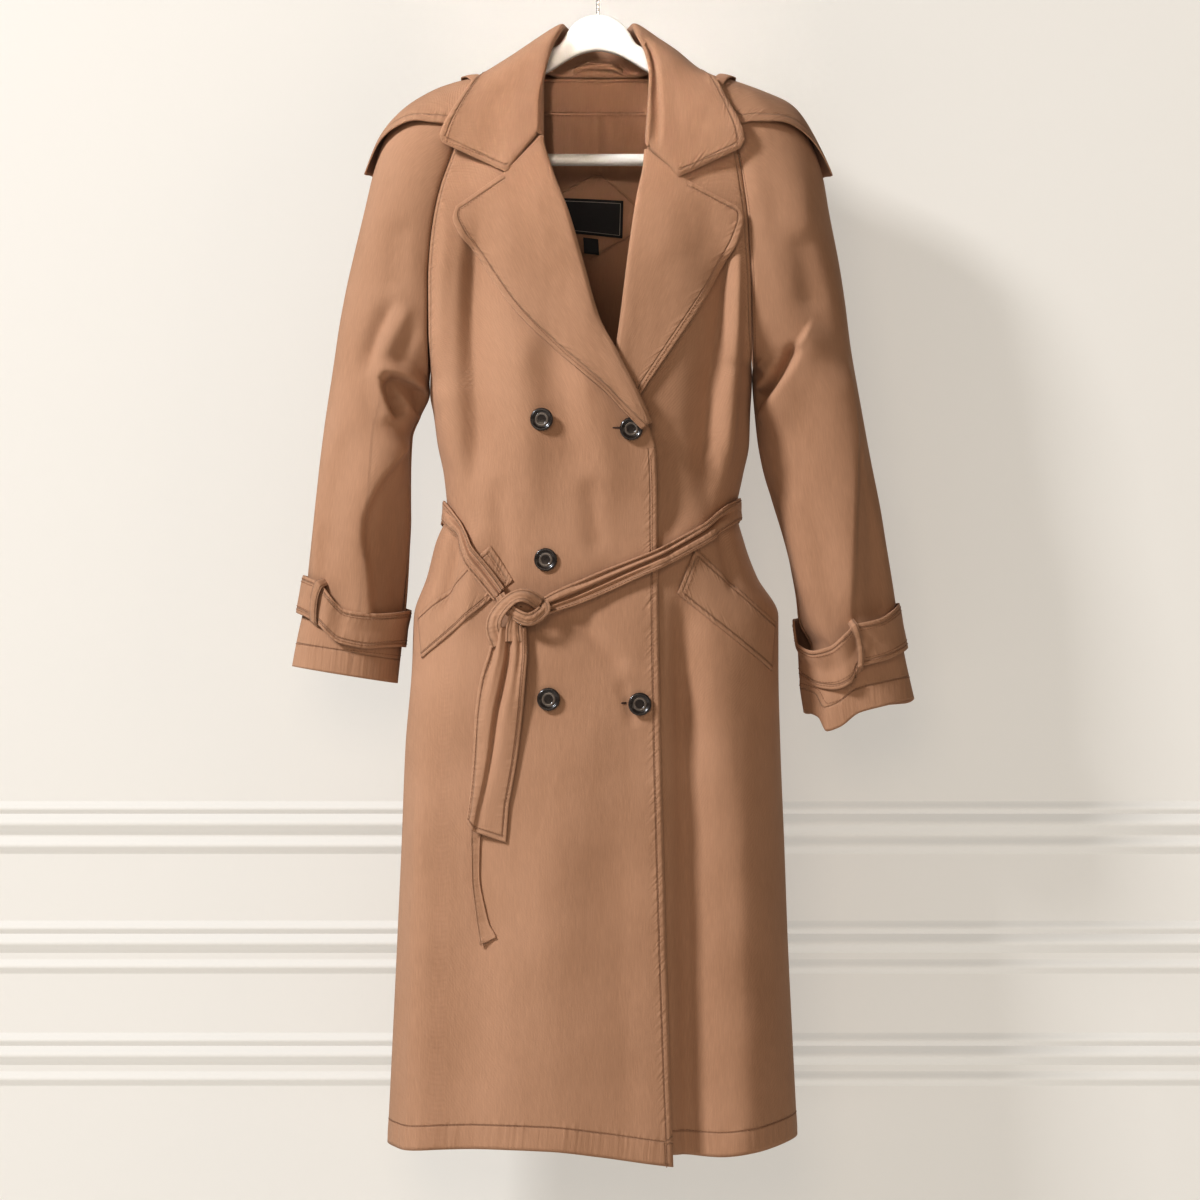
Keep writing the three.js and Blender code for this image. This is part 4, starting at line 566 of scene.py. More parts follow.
def twillWeave():  # diagonal ribs and the slubs of single yarns, in the cloth's own directions
    group, given, result = newGroup(
        "twill weave",
        [("Ribs per metre", "NodeSocketFloat", 1100.0), ("Slub", "NodeSocketFloat", 0.5)],
        [("Height", "NodeSocketFloat"), ("Slub mask", "NodeSocketFloat")],
    )
    link = group.links.new
    uv = node(group, "ShaderNodeUVMap", uv_map="cut")
    turn = node(group, "ShaderNodeMapping")
    turn.inputs["Rotation"].default_value = (0, 0, math.radians(63))
    link(uv.outputs[0], turn.inputs["Vector"])
    ribs = node(group, "ShaderNodeTexWave", wave_type="BANDS", bands_direction="X")
    ribs.inputs["Distortion"].default_value = 0.6
    ribs.inputs["Detail"].default_value = 1.0
    link(turn.outputs[0], ribs.inputs["Vector"])
    link(mathNode(group, "MULTIPLY", given.outputs["Ribs per metre"], 0.314), ribs.inputs["Scale"])
    stretch = node(group, "ShaderNodeMapping")
    stretch.inputs["Scale"].default_value = (900, 60, 1)
    link(uv.outputs[0], stretch.inputs["Vector"])
    yarn = node(group, "ShaderNodeTexNoise")
    yarn.inputs["Scale"].default_value = 1.0
    yarn.inputs["Detail"].default_value = 2.0
    link(stretch.outputs[0], yarn.inputs["Vector"])
    slub = mathNode(group, "MULTIPLY", yarn.outputs["Fac"], given.outputs["Slub"])
    link(mathNode(group, "ADD", ribs.outputs["Fac"], slub), result.inputs["Height"])
    link(yarn.outputs["Fac"], result.inputs["Slub mask"])
    return group


def seamPucker():  # the groove of a stitched edge and the puckers that it draws in
    group, given, result = newGroup(
        "seam pucker",
        [("Stitch in", "NodeSocketFloat", coat["stitchIn"]), ("Pucker", "NodeSocketFloat", 1.0)],
        [("Height", "NodeSocketFloat"), ("Groove", "NodeSocketFloat"), ("Edge", "NodeSocketFloat")],
    )
    link = group.links.new
    away = node(group, "ShaderNodeAttribute", attribute_name="fromSeam").outputs["Fac"]
    along = node(group, "ShaderNodeAttribute", attribute_name="alongSeam").outputs["Fac"]
    off = mathNode(group, "SUBTRACT", away, given.outputs["Stitch in"])
    narrow = mathNode(group, "POWER", mathNode(group, "ABSOLUTE", mathNode(group, "DIVIDE", off, 0.9)), 2.0)
    groove = mathNode(group, "EXPONENT", mathNode(group, "MULTIPLY", narrow, -1.0))
    wide = mathNode(group, "POWER", mathNode(group, "ABSOLUTE", mathNode(group, "DIVIDE", off, 6.5)), 2.0)
    reach = mathNode(group, "EXPONENT", mathNode(group, "MULTIPLY", wide, -1.0))
    spot = node(group, "ShaderNodeCombineXYZ")
    link(mathNode(group, "MULTIPLY", along, 0.16), spot.inputs[0])
    link(mathNode(group, "MULTIPLY", away, 0.035), spot.inputs[1])
    waves = node(group, "ShaderNodeTexNoise")
    waves.inputs["Scale"].default_value = 1.0
    waves.inputs["Detail"].default_value = 1.5
    link(spot.outputs[0], waves.inputs["Vector"])
    pucker = mathNode(group, "MULTIPLY", mathNode(group, "SUBTRACT", waves.outputs["Fac"], 0.5), reach)
    pucker = mathNode(group, "MULTIPLY", pucker, given.outputs["Pucker"])
    link(mathNode(group, "SUBTRACT", pucker, mathNode(group, "MULTIPLY", groove, 0.4)),
        result.inputs["Height"])
    link(groove, result.inputs["Groove"])
    close = mathNode(group, "DIVIDE", away, 1.6)
    link(mathNode(group, "SUBTRACT", 1.0, close, clamp=True), result.inputs["Edge"])
    return group


def wornTone():  # slow changes of tone over the garment, and fine wrinkles that hang down
    group, given, result = newGroup(
        "worn tone",
        [("Spread", "NodeSocketFloat", 1.0)],
        [("Tone", "NodeSocketFloat"), ("Wrinkle", "NodeSocketFloat")],
    )
    link = group.links.new
    place = node(group, "ShaderNodeTexCoord").outputs["Object"]
    patches = node(group, "ShaderNodeTexNoise", Scale=7.0, Detail=3.0)
    link(place, patches.inputs["Vector"])
    link(mathNode(group, "MULTIPLY", patches.outputs["Fac"], given.outputs["Spread"]), result.inputs["Tone"])
    tall = node(group, "ShaderNodeMapping")
    tall.inputs["Scale"].default_value = (26, 26, 7)
    link(place, tall.inputs["Vector"])
    wrinkle = node(group, "ShaderNodeTexNoise", Scale=1.0, Detail=2.0)
    link(tall.outputs[0], wrinkle.inputs["Vector"])
    link(wrinkle.outputs["Fac"], result.inputs["Wrinkle"])
    return group


groups = {"twill": twillWeave(), "pucker": seamPucker(), "tone": wornTone()}


def useGroup(tree, name, **values):
    made = tree.nodes.new("ShaderNodeGroup")
    made.node_tree = groups[name]
    for key, value in values.items():
        made.inputs[key].default_value = value
    return made


def mixColour(tree, share, a, b):
    made = tree.nodes.new("ShaderNodeMix")
    made.data_type = "RGBA"
    for socket, value in ((made.inputs[0], share), (made.inputs[6], a), (made.inputs[7], b)):
        if isinstance(value, tuple):
            socket.default_value = (*value, 1)
        else:
            tree.links.new(value, socket)
    return made.outputs[2]


def newMaterial(name):
    material = bpy.data.materials.new(name)
    material.use_nodes = True
    tree = material.node_tree
    shader = tree.nodes["Principled BSDF"]
    return material, tree, shader


def gabardine(name, colour, dark, light, ribs=900.0, pucker=1.0):
    material, tree, shader = newMaterial(name)
    link = tree.links.new
    weave = useGroup(tree, "twill", **{"Ribs per metre": ribs, "Slub": 0.6})
    seam = useGroup(tree, "pucker", Pucker=pucker)
    tone = useGroup(tree, "tone", Spread=1.0)
    toned = mathNode(tree, "MULTIPLY", mathNode(tree, "SUBTRACT", tone.outputs["Tone"], 0.35), 1.6,
        clamp=True)
    base = mixColour(tree, toned, dark, light)
    streak = mathNode(tree, "MULTIPLY", mathNode(tree, "SUBTRACT", weave.outputs["Slub mask"], 0.38), 3.0,
        clamp=True)
    base = mixColour(tree, mathNode(tree, "MULTIPLY", streak, 0.45), base, tuple(c * 1.1 for c in colour))
    # painted shade: the cloth colour darkens along the stitch groove, where shade falls in the seam
    base = mixColour(tree, mathNode(tree, "MULTIPLY", seam.outputs["Groove"], 0.26), base,
        tuple(c * 0.45 for c in dark))
    base = mixColour(tree, mathNode(tree, "MULTIPLY", seam.outputs["Edge"], 0.35), base,
        tuple(min(c * 1.35, 1) for c in light))
    link(base, shader.inputs["Base Color"])
    rough = mathNode(tree, "ADD", mathNode(tree, "MULTIPLY", weave.outputs["Slub mask"], 0.16), 0.74)
    link(rough, shader.inputs["Roughness"])
    shader.inputs["Specular IOR Level"].default_value = 0.25
    shader.inputs["Sheen Weight"].default_value = 0.12
    shader.inputs["Sheen Roughness"].default_value = 0.45
    shader.inputs["Sheen Tint"].default_value = (1.0, 0.86, 0.74, 1)
    fine = node(tree, "ShaderNodeBump", Strength=0.5, Distance=0.0004)
    link(weave.outputs["Height"], fine.inputs["Height"])
    pucked = node(tree, "ShaderNodeBump", Strength=1.0, Distance=0.0022)
    link(seam.outputs["Height"], pucked.inputs["Height"])
    link(fine.outputs[0], pucked.inputs["Normal"])
    soften = node(tree, "ShaderNodeBump", Strength=0.6, Distance=0.004)
    link(tone.outputs["Wrinkle"], soften.inputs["Height"])
    link(pucked.outputs[0], soften.inputs["Normal"])
    link(soften.outputs[0], shader.inputs["Normal"])
    return material


def plain(name, colour, roughness, metallic=0.0, grain=0.0, size=60.0, coatWeight=0.0):
    material, tree, shader = newMaterial(name)
    link = tree.links.new
    place = node(tree, "ShaderNodeTexCoord").outputs["Object"]
    noise = node(tree, "ShaderNodeTexNoise", Scale=size, Detail=4.0)
    link(place, noise.inputs["Vector"])
    link(mixColour(tree, noise.outputs["Fac"], tuple(c * (1 - grain) for c in colour), colour),
        shader.inputs["Base Color"])
    rough = mathNode(tree, "ADD", mathNode(tree, "MULTIPLY", noise.outputs["Fac"], 0.12), roughness - 0.06)
    link(rough, shader.inputs["Roughness"])
    shader.inputs["Metallic"].default_value = metallic
    shader.inputs["Coat Weight"].default_value = coatWeight
    bump = node(tree, "ShaderNodeBump", Strength=0.15, Distance=0.0003)
    link(noise.outputs["Fac"], bump.inputs["Height"])
    link(bump.outputs[0], shader.inputs["Normal"])
    return material


tan = gabardine("tan gabardine", (0.465, 0.279, 0.177), (0.395, 0.229, 0.14), (0.485, 0.294, 0.192))
reverse = gabardine("gabardine reverse", (0.48, 0.28, 0.175), (0.43, 0.24, 0.145), (0.52, 0.31, 0.2),
    pucker=0.7)
# the thread's colour, set darker than the cloth as painted shade along the stitch lines
thread = plain("stitching thread with painted shade", (0.34, 0.18, 0.10), 0.7, grain=0.3, size=900)
horn = plain("buffalo horn", (0.045, 0.032, 0.026), 0.28, grain=0.75, size=160, coatWeight=0.4)
# the raised ring's horn made paler and greyer: painted reflection of its gloss
hornRingWithReflection = plain("horn ring with painted reflection", (0.20, 0.16, 0.13), 0.22, grain=0.6, size=240, coatWeight=0.6)
blackTape = plain("black woven tape", (0.012, 0.011, 0.011), 0.75, grain=0.5, size=900)
paleTape = plain("pale woven border", (0.42, 0.39, 0.35), 0.8, grain=0.2, size=900)
# dark brown: the button's thread, and painted shade filling the buttonhole slits
darkThreadAndSlitShade = plain("button thread and buttonhole shade", (0.09, 0.045, 0.03), 0.7, grain=0.4, size=900)
whitePaint = plain("white satin paint", (0.80, 0.775, 0.72), 0.38, grain=0.04, size=24, coatWeight=0.15)
wire = plain("plated wire", (0.62, 0.61, 0.60), 0.24, metallic=1.0, grain=0.15, size=300)
skins = [tan, reverse]
print("materials made")


# stitches: one tree lays short capsules along the seams that it is given
def stitchTree():
    tree = bpy.data.node_groups.new("stitch rows", "GeometryNodeTree")
    tree.interface.new_socket("Seams", in_out="INPUT", socket_type="NodeSocketGeometry")
    tree.interface.new_socket("Stitches", in_out="OUTPUT", socket_type="NodeSocketGeometry")
    for label, kind, value in (
        ("Pitch", "NodeSocketFloat", 0.0034),
        ("Stitch length", "NodeSocketFloat", 0.0024),
        ("Thread radius", "NodeSocketFloat", 0.00034),
        ("Unevenness", "NodeSocketFloat", 0.14),
        ("Thread", "NodeSocketMaterial", None),
    ):
        socket = tree.interface.new_socket(label, in_out="INPUT", socket_type=kind)
        if value is not None:
            socket.default_value = value
    given, result = tree.nodes.new("NodeGroupInput"), tree.nodes.new("NodeGroupOutput")
    link = tree.links.new
    line = tree.nodes.new("GeometryNodeMeshToCurve")
    link(given.outputs["Seams"], line.inputs[0])
    points = tree.nodes.new("GeometryNodeResampleCurve")
    points.mode = "LENGTH"
    link(line.outputs[0], points.inputs["Curve"])
    link(given.outputs["Pitch"], points.inputs["Length"])
    spots = tree.nodes.new("GeometryNodeCurveToPoints")
    spots.mode = "EVALUATED"
    link(points.outputs[0], spots.inputs["Curve"])
    capsule = tree.nodes.new("GeometryNodeMeshCylinder")
    capsule.inputs["Vertices"].default_value = 5
    link(given.outputs["Thread radius"], capsule.inputs["Radius"])
    link(given.outputs["Stitch length"], capsule.inputs["Depth"])
    jitter = tree.nodes.new("FunctionNodeRandomValue")
    jitter.data_type = "FLOAT_VECTOR"
    jitter.inputs["Seed"].default_value = 5
    jitter.inputs["Min"].default_value = (-1, -1, -1)
    scaled = tree.nodes.new("ShaderNodeVectorMath")
    scaled.operation = "SCALE"
    link(jitter.outputs[0], scaled.inputs[0])
    link(given.outputs["Unevenness"], scaled.inputs["Scale"])
    place = tree.nodes.new("GeometryNodeInstanceOnPoints")
    link(spots.outputs["Points"], place.inputs["Points"])
    link(capsule.outputs["Mesh"], place.inputs["Instance"])
    link(spots.outputs["Rotation"], place.inputs["Rotation"])
    turned = tree.nodes.new("GeometryNodeRotateInstances")
    link(place.outputs[0], turned.inputs["Instances"])
    link(scaled.outputs[0], turned.inputs["Rotation"])
    real = tree.nodes.new("GeometryNodeRealizeInstances")
    link(turned.outputs[0], real.inputs[0])
    dressed = tree.nodes.new("GeometryNodeSetMaterial")
    link(real.outputs[0], dressed.inputs["Geometry"])
    link(given.outputs["Thread"], dressed.inputs["Material"])
    link(dressed.outputs[0], result.inputs[0])
    return tree


stitching = {"pitch": 3.5, "length": 2.5, "thread": 0.38}
seamLines = []


def stitch(points):  # remembers a row of stitches; they are all made at the end
    seamLines.append(np.asarray(points, float))


def sewStitches(name):
    points, edges = [], []
    for row in seamLines:
        edges += [(len(points) + k, len(points) + k + 1) for k in range(len(row) - 1)]
        points += (row * mm).tolist()
    mesh = bpy.data.meshes.new(name)
    mesh.from_pydata(points, edges, [])
    rows = bpy.data.objects.new(name, mesh)
    scene.collection.objects.link(rows)
    tree = stitchTree()
    modifier = rows.modifiers.new("stitches", "NODES")
    modifier.node_group = tree
    values = {
        "Pitch": stitching["pitch"] * mm,
        "Stitch length": stitching["length"] * mm,
        "Thread radius": stitching["thread"] * mm,
        "Thread": thread,
    }
    for item in tree.interface.items_tree:
        if item.in_out == "INPUT" and item.name in values:
            modifier[item.identifier] = values[item.name]
    made = bpy.data.meshes.new_from_object(rows.evaluated_get(bpy.context.evaluated_depsgraph_get()))
    rows.modifiers.clear()
    rows.data = made
    rows.name = name
    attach(rows, "root")
    return rows


# fronts, back and sleeves
def bodyLevels(side, count):  # levels from the neck down to the hem
    return mix(side["rowZ"](0), coat["hemLevel"], np.linspace(0, 1, count))


def dipped(grid, out, away, deep=None):  # turns a sewn edge in
    deep = coat["seamDip"] if deep is None else deep
    return grid - out * (deep * np.exp(-((away / 3.2) ** 2)))[..., None]


frontPanels = {"rows": 270, "columns": 58}


def makeFront(name, which, sideName):
    side = sides[sideName]
    levels = bodyLevels(side, frontPanels["rows"])
    split = shares(frontPanels["columns"])
    xs, zs = [], []
    for z in levels:
        x, _ = rowPlaces("front", z, z, side["sign"] * side["seamX"](z), float(edgeX[which](z)), split)
        xs.append(x)
        zs.append(np.full_like(x, z))
    xs, zs = np.array(xs), np.array(zs)
    grid, out = onFront(xs, zs, 0, which)
    grid[..., 2] += hemmed(zs, xs, which) - zs
    fromSide = lengths(grid, 1)
    fromEdge = fromSide[:, -1:] - fromSide
    down = lengths(grid, 0)
    fromHem = down[-1:] - down
    edgeStitch = np.where(zs < -535 if which == "over" else zs < 0, fromEdge, 99)
    hemStitch = np.maximum(coat["stitchIn"] + fromHem - coat["hemStitch"], 2.4)
    seamStitch = fromSide + coat["stitchIn"] - 4
    nearHem = fromHem < coat["hemStitch"] + 14
    fromSeam = np.where(nearHem & (np.abs(hemStitch - 7) < np.abs(edgeStitch - 7)), hemStitch, edgeStitch)
    fromSeam = np.where((fromSide < 12) & (zs > -470), seamStitch, fromSeam)
    still = down[-1:] - coat["hemPucker"]  # below this the puckers stand upright
    alongSeam = fromSide + np.minimum(down, still)
    grid = dipped(grid, out, fromSide - coat["seamGap"])
    puffed = np.exp(-(((fromEdge - 3) / 3.5) ** 2)) * ramp(-520, -560, zs) * (which == "over")
    grid += out * (0.7 * puffed)[..., None]
    rim = np.exp(-(((fromHem - 12) / 10) ** 2)) * np.sin(fromSide / 6.5 + 1.3 * np.sin(fromSide / 17)) * 0.35
    grid += out * rim[..., None]
    piece = cloth(name, grid, coat["cloth"], skins, -1 if sideName == "right" else 1,
        (fromSeam, alongSeam), anchor=1)
    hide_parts(name)
    if which == "over":
        column = int(np.argmin(np.abs(fromEdge[140] - coat["stitchIn"])))
        lower = zs[:, 0] < -545
        stitch((grid + out * 0.1)[lower, column])
    row = int(np.argmin(np.abs(fromHem[:, 30] - coat["hemStitch"])))
    stitch((grid + out * 0.1)[row, 3:-3])
    return piece


frontRight = makeFront("front_right", "over", "right")
frontLeft = makeFront("front_left", "under", "left")
print("fronts hung")

backPanel = {"rows": 260, "columns": 136}


neckGathers = [  # small folds that hang from the facing inside the neck
    {"path": [(8, -176), (9, -205), (8, -240)], "wide": (6, 3), "deep": -2.6, "fade": 0.1},
    {"path": [(34, -182), (28, -215), (18, -245)], "wide": (5, 5), "deep": 2.6},
    {"path": [(24, -178), (22, -200), (20, -224)], "wide": (5, 5), "deep": -2.2},
    {"path": [(-20, -178), (-18, -204), (-15, -230)], "wide": (7, 6), "deep": -2.0},
    {"path": [(-44, -180), (-42, -205), (-38, -235)], "wide": (8, 7), "deep": 2.0},
    {"path": [(48, -182), (46, -205), (40, -235)], "wide": (7, 6), "deep": -2.4},
]


def makeBack():
    right, left = sides["right"], sides["left"]
    split = shares(backPanel["columns"], 0.3)
    rights, lefts = bodyLevels(right, backPanel["rows"]), bodyLevels(left, backPanel["rows"])
    xs, zs = [], []
    for zRight, zLeft in zip(rights, lefts):
        x, z = rowPlaces("back", zRight, zLeft, -float(right["seamX"](zRight)),
            float(left["seamX"](zLeft)), split)
        xs.append(x)
        zs.append(z)
    xs, zs = np.array(xs), np.array(zs)
    grid, out = bodyPoint("back", xs, zs)
    grid[..., 2] += hemmed(zs, xs, "back") - zs
    away = lengths(grid, 1)
    side = np.minimum(away, away[:, -1:] - away)
    pleat = creaseHeight([{"path": [(0, -176), (0, -205), (1, -236)], "wide": (3.2, 3.6), "deep": 3.0,
        "fade": 0.1}], xs, zs)
    gathers = creaseHeight(neckGathers, xs, zs)
    seamDown = creaseHeight([{"path": [(0, -300), (0, -700), (0, -1262)], "wide": (2.4, 2.4),
        "deep": -1.1, "fade": 0.02}], xs, zs)
    grid = dipped(grid, out, side) + out * (pleat + gathers + seamDown)[..., None]
    down = lengths(grid, 0)
    fromHem = down[-1:] - down
    fromSeam = np.maximum(coat["stitchIn"] + fromHem - coat["hemStitch"], 2.4)
    piece = cloth("back", grid, coat["cloth"], skins, 1, (fromSeam, away))
    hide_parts("back")
    row = int(np.argmin(np.abs(fromHem[:, 40] - coat["hemStitch"])))
    stitch((grid + out * 0.1)[row, 2:-2])
    return piece


back = makeBack()
print("back hung")

sleevePanels = {"rows": 280, "columns": 120}


def makeSleeve(name):
    side = sides[name]
    rows = np.linspace(0, side["last"], sleevePanels["rows"])[:, None]
    split = shares(sleevePanels["columns"], 0.35)[None, :]
    start = -sleeveReach(side, rows, True)
    end = math.pi + sleeveReach(side, rows, False)
    turn = mix(start, end, split)
    grid, out = sleevePoint(side, rows + 0 * turn, turn)
    away = lengths(grid, 1)
    fromSide = np.minimum(away, away[:, -1:] - away)
    grid = dipped(grid, out, fromSide)
    down = lengths(grid, 0)
    fromHem = down[-1:] - down
    fromSeam = np.maximum(coat["stitchIn"] + fromHem - coat["hemStitch"], 2.4)
    piece = cloth(f"sleeve_{name}", grid, coat["cloth"], skins, 1 if name == "right" else -1,
        (fromSeam, away))
    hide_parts(f"sleeve_{name}")
    row = int(np.argmin(np.abs(fromHem[:, 40] - coat["hemStitch"])))
    stitch((grid + out * 0.1)[row, 1:-1])
    sewn = int(coat["armpitRow"] / side["last"] * sleevePanels["rows"])
    column = int(np.argmin(np.abs(away[90] - 3)))
    stitch((grid + out * 0.1)[8:sewn, column])
    return piece


sleevePieces = {name: makeSleeve(name) for name in ("right", "left")}
print("sleeves hung")


# what lies on the panels: cape, collar, lapels and pocket welts
cape = {
    "rise": 2.4,
    "rows": [  # sleeve row, where its front edge lies, how far it stands off there and behind
        (0.3, 70, 0, 0), (1, 50, 1.2, 0.6), (2, 18, 3.4, 1.8), (3, 6, 3.8, 2.2), (4, 25, 5, 2.4),
        (5, 48, 7, 3), (6, 68, 10, 4.5), (7, 86, 14, 6),
    ],
    "tipDrop": 14,
    "stitchIn": 10.0,
}
capeCreases = [
    {"path": [(-150, -160), (-176, -176), (-206, -206)], "wide": (8, 12), "deep": 1.6},
    {"path": [(150, -160), (178, -178), (210, -212)], "wide": (10, 8), "deep": 1.4},
    {"path": [(-96, -190), (-104, -250), (-112, -330)], "wide": (16, 20), "deep": 2.6},
    {"path": [(20, -200), (26, -260), (28, -330)], "wide": (18, 18), "deep": 2.2},
    {"path": [(110, -200), (118, -260), (126, -330)], "wide": (16, 14), "deep": 2.4},
]


number, turnList, freeList, hangList = (list(c) for c in zip(*cape["rows"]))
turnAt, freeAt, hangAt = soft(number, turnList), soft(number, freeList), soft(number, hangList)


def capeRise(rows, turns):
    shoulder = np.exp(-(((turns - math.pi / 2) / 0.9) ** 2))
    return cape["rise"] + hangAt(rows) + (freeAt(rows) - hangAt(rows)) * shoulder


def makeCape():
    rows = np.linspace(number[0], number[-1], 76)[:, None]

    def half(name):
        side = sides[name]
        start, end = np.radians(turnAt(rows)), math.pi + sleeveReach(side, rows, False)
        ahead = mix(start, math.pi / 2, np.linspace(0, 1, 22)[None, :])
        behind = mix(math.pi / 2, end, np.linspace(0, 1, 34)[None, 1:])
        turns = np.concatenate([ahead, behind], axis=1)
        grid = sleevePoint(side, rows + 0 * turns, turns, capeRise(rows, turns))[0]
        tip = np.exp(-(((turns - math.pi / 2) / 0.4) ** 2)) * ramp(4.5, 7, rows)
        grid[..., 2] -= cape["tipDrop"] * tip
        return grid

    right, left = sides["right"], sides["left"]
    middle = []
    for row in rows[:, 0]:
        zRight, zLeft = float(right["rowZ"](row)), float(left["rowZ"](row))
        start, end = -float(right["seamX"](zRight)), float(left["seamX"](zLeft))
        x, z = rowPlaces("back", zRight, zLeft, start, end, np.linspace(0, 1, 52))
        middle.append(bodyPoint("back", x, z, cape["rise"] + float(hangAt(row)))[0][2:-2])
    grid = np.concatenate([half("right"), np.array(middle), half("left")[:, ::-1]], axis=1)
    grid = smoothed(grid, 14)
    behind = ramp(-20, 30, grid[..., 1])
    push = creaseHeight(capeCreases[2:], grid[..., 0], grid[..., 2]) * behind
    push += creaseHeight(capeCreases[:2], grid[..., 0], grid[..., 2]) * (1 - behind)
    grid += gridNormals(grid, 1) * push[..., None]
    down, across = lengths(grid, 0), lengths(grid, 1)
    fromFront = np.minimum(across, across[:, -1:] - across)
    fromEdge = np.minimum(down[-1:] - down, np.where(rows > 1.5, fromFront, 99))
    fromSeam = np.maximum(coat["stitchIn"] + fromEdge - cape["stitchIn"], 2.4)
    piece = cloth("storm_cape", grid, coat["cloth"], skins, 1, (fromSeam, across + down))
    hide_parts("storm_cape")
    return piece


capePiece = makeCape()
keeper = {"row": (2.5, 2.84), "turns": (0.62, 1.95), "lean": 0.55, "rise": 2.1}


def makeKeeper(name):  # the loop over the shoulder beside the collar
    side = sides[name]
    turn = np.linspace(*keeper["turns"], 40)[None, :]
    v = np.linspace(0, 1, 9)[:, None]
    row = mix(*keeper["row"], v) - keeper["lean"] * np.maximum(math.pi / 2 - turn, 0)
    ends = 1 - 0.75 * np.abs(np.linspace(-1, 1, 40)) ** 6
    rise = capeRise(row, turn) + keeper["rise"] * ends + 0.5 * np.sin(math.pi * v)
    grid, _ = sleevePoint(side, row, turn, rise)
    across, along = lengths(grid, 0), lengths(grid, 1)
    fromSeam = np.minimum(across, across[-1:] - across) + 5
    piece = cloth(f"shoulder_keeper_{name}", grid, 1.4, skins, 1 if name == "left" else -1, (fromSeam, along))
    stitch(grid[2] - np.array([0, 0.15, 0]))
    stitch(grid[-3] - np.array([0, 0.15, 0]))
    return piece


keepers = [makeKeeper(name) for name in ("right", "left")]
print("cape laid on")

collar = {
    "rise": 4.6,
    "notchAt": 0.31,
    "notchColumn": 24,
    "crestRound": 8.0,
    "cloth": 2.2,
    "neckX": {"right": (57, 57, 57, 58, 55.5, 52.5, 56, 57, 40, 20),
        "left": (49, 51.4, 53.4, 56.5, 55.5, 52.5, 56, 57, 40, 20)},
    # crest x y z, edge x y z and how far the fall sags at the notch, from the gorge to the back of the neck
    "right": [
        (63, -56, -206, 169, -57, -213, 39), (63.5, -53, -176, 162, -59, -196, 16),
            (57, -42, -139, 149, -54, -173, 4),
        (48, -27, -108, 136, -40, -153, 0), (40, -14, -92, 128, -20, -143, 0),
            (36, 0, -84.5, 120, 4, -140, 0),
        (32, 17, -86.5, 111, 31, -143, 0), (27, 30, -89, 98, 53.5, -153, 0), (19, 37, -90, 68, 60, -170, 0),
        (9.5, 39, -91, 33, 64, -178, 0),
    ],
    "left": [
        (52.5, -58, -220, 155, -57, -219, 31), (55, -53, -182, 152, -59, -203, 13),
            (55, -42, -148, 142, -54, -180, 4),
        (49, -27, -116, 131, -40, -159, 0), (41, -14, -96, 121, -20, -141, 0),
            (36, 0, -84.5, 116, 4, -136, 0),
        (32, 17, -86.5, 108, 31, -136.5, 0), (27, 30, -89, 95, 54.5, -151, 0), (19, 37, -90, 67, 60, -170, 0),
        (9.5, 39, -91, 33, 64, -178, 0),
    ],
    "neckYZ": [(-48, -208), (-42, -179), (-31, -146), (-22, -124), (-12.5, -111), (0, -103.5), (14, -113),
        (26, -131), (31, -137.6), (32.6, -137.6)],
    "centre": ((0, 33, -137.6), (0, 40, -92), (0, 65, -181)),
}
collarCreases = [
    {"path": [(46, -97), (59, -128), (63, -176), (62, -224)], "wide": (3.5, 12), "deep": -6, "fade": 0.16},
    {"path": [(70, -118), (82, -150), (88, -186)], "wide": (9, 14), "deep": 1.8},
    {"path": [(-52, -110), (-64, -140), (-72, -190)], "wide": (10, 9), "deep": 1.4},
    {"path": [(-92, -150), (-104, -176), (-118, -204)], "wide": (16, 12), "deep": -1.6},
    {"path": [(112, -168), (108, -196), (96, -222)], "wide": (10, 10), "deep": -1.4},
]


def collarStations():
    stations = []
    for name, sign in (("right", -1), ("left", 1)):
        rows = []
        for neckX, (neckY, neckZ), (cx, cy, cz, ex, ey, ez, sag) in zip(collar["neckX"][name],
            collar["neckYZ"], collar[name]):
            rows.append((sign * neckX, neckY, neckZ, sign * cx, cy, cz, sign * ex, ey, ez, sag))
        stations.append(rows)
    centre = (*collar["centre"][0], *collar["centre"][1], *collar["centre"][2], 0)
    return np.array([*stations[0], centre, *stations[1][::-1]], float)


def bezier(points, t):
    a, b, c, d = points
    t = t[None, :, None]
    a, b, c, d = (p[:, None, :] for p in (a, b, c, d))
    return a * (1 - t) ** 3 + 3 * b * t * (1 - t) ** 2 + 3 * c * t**2 * (1 - t) + d * t**3


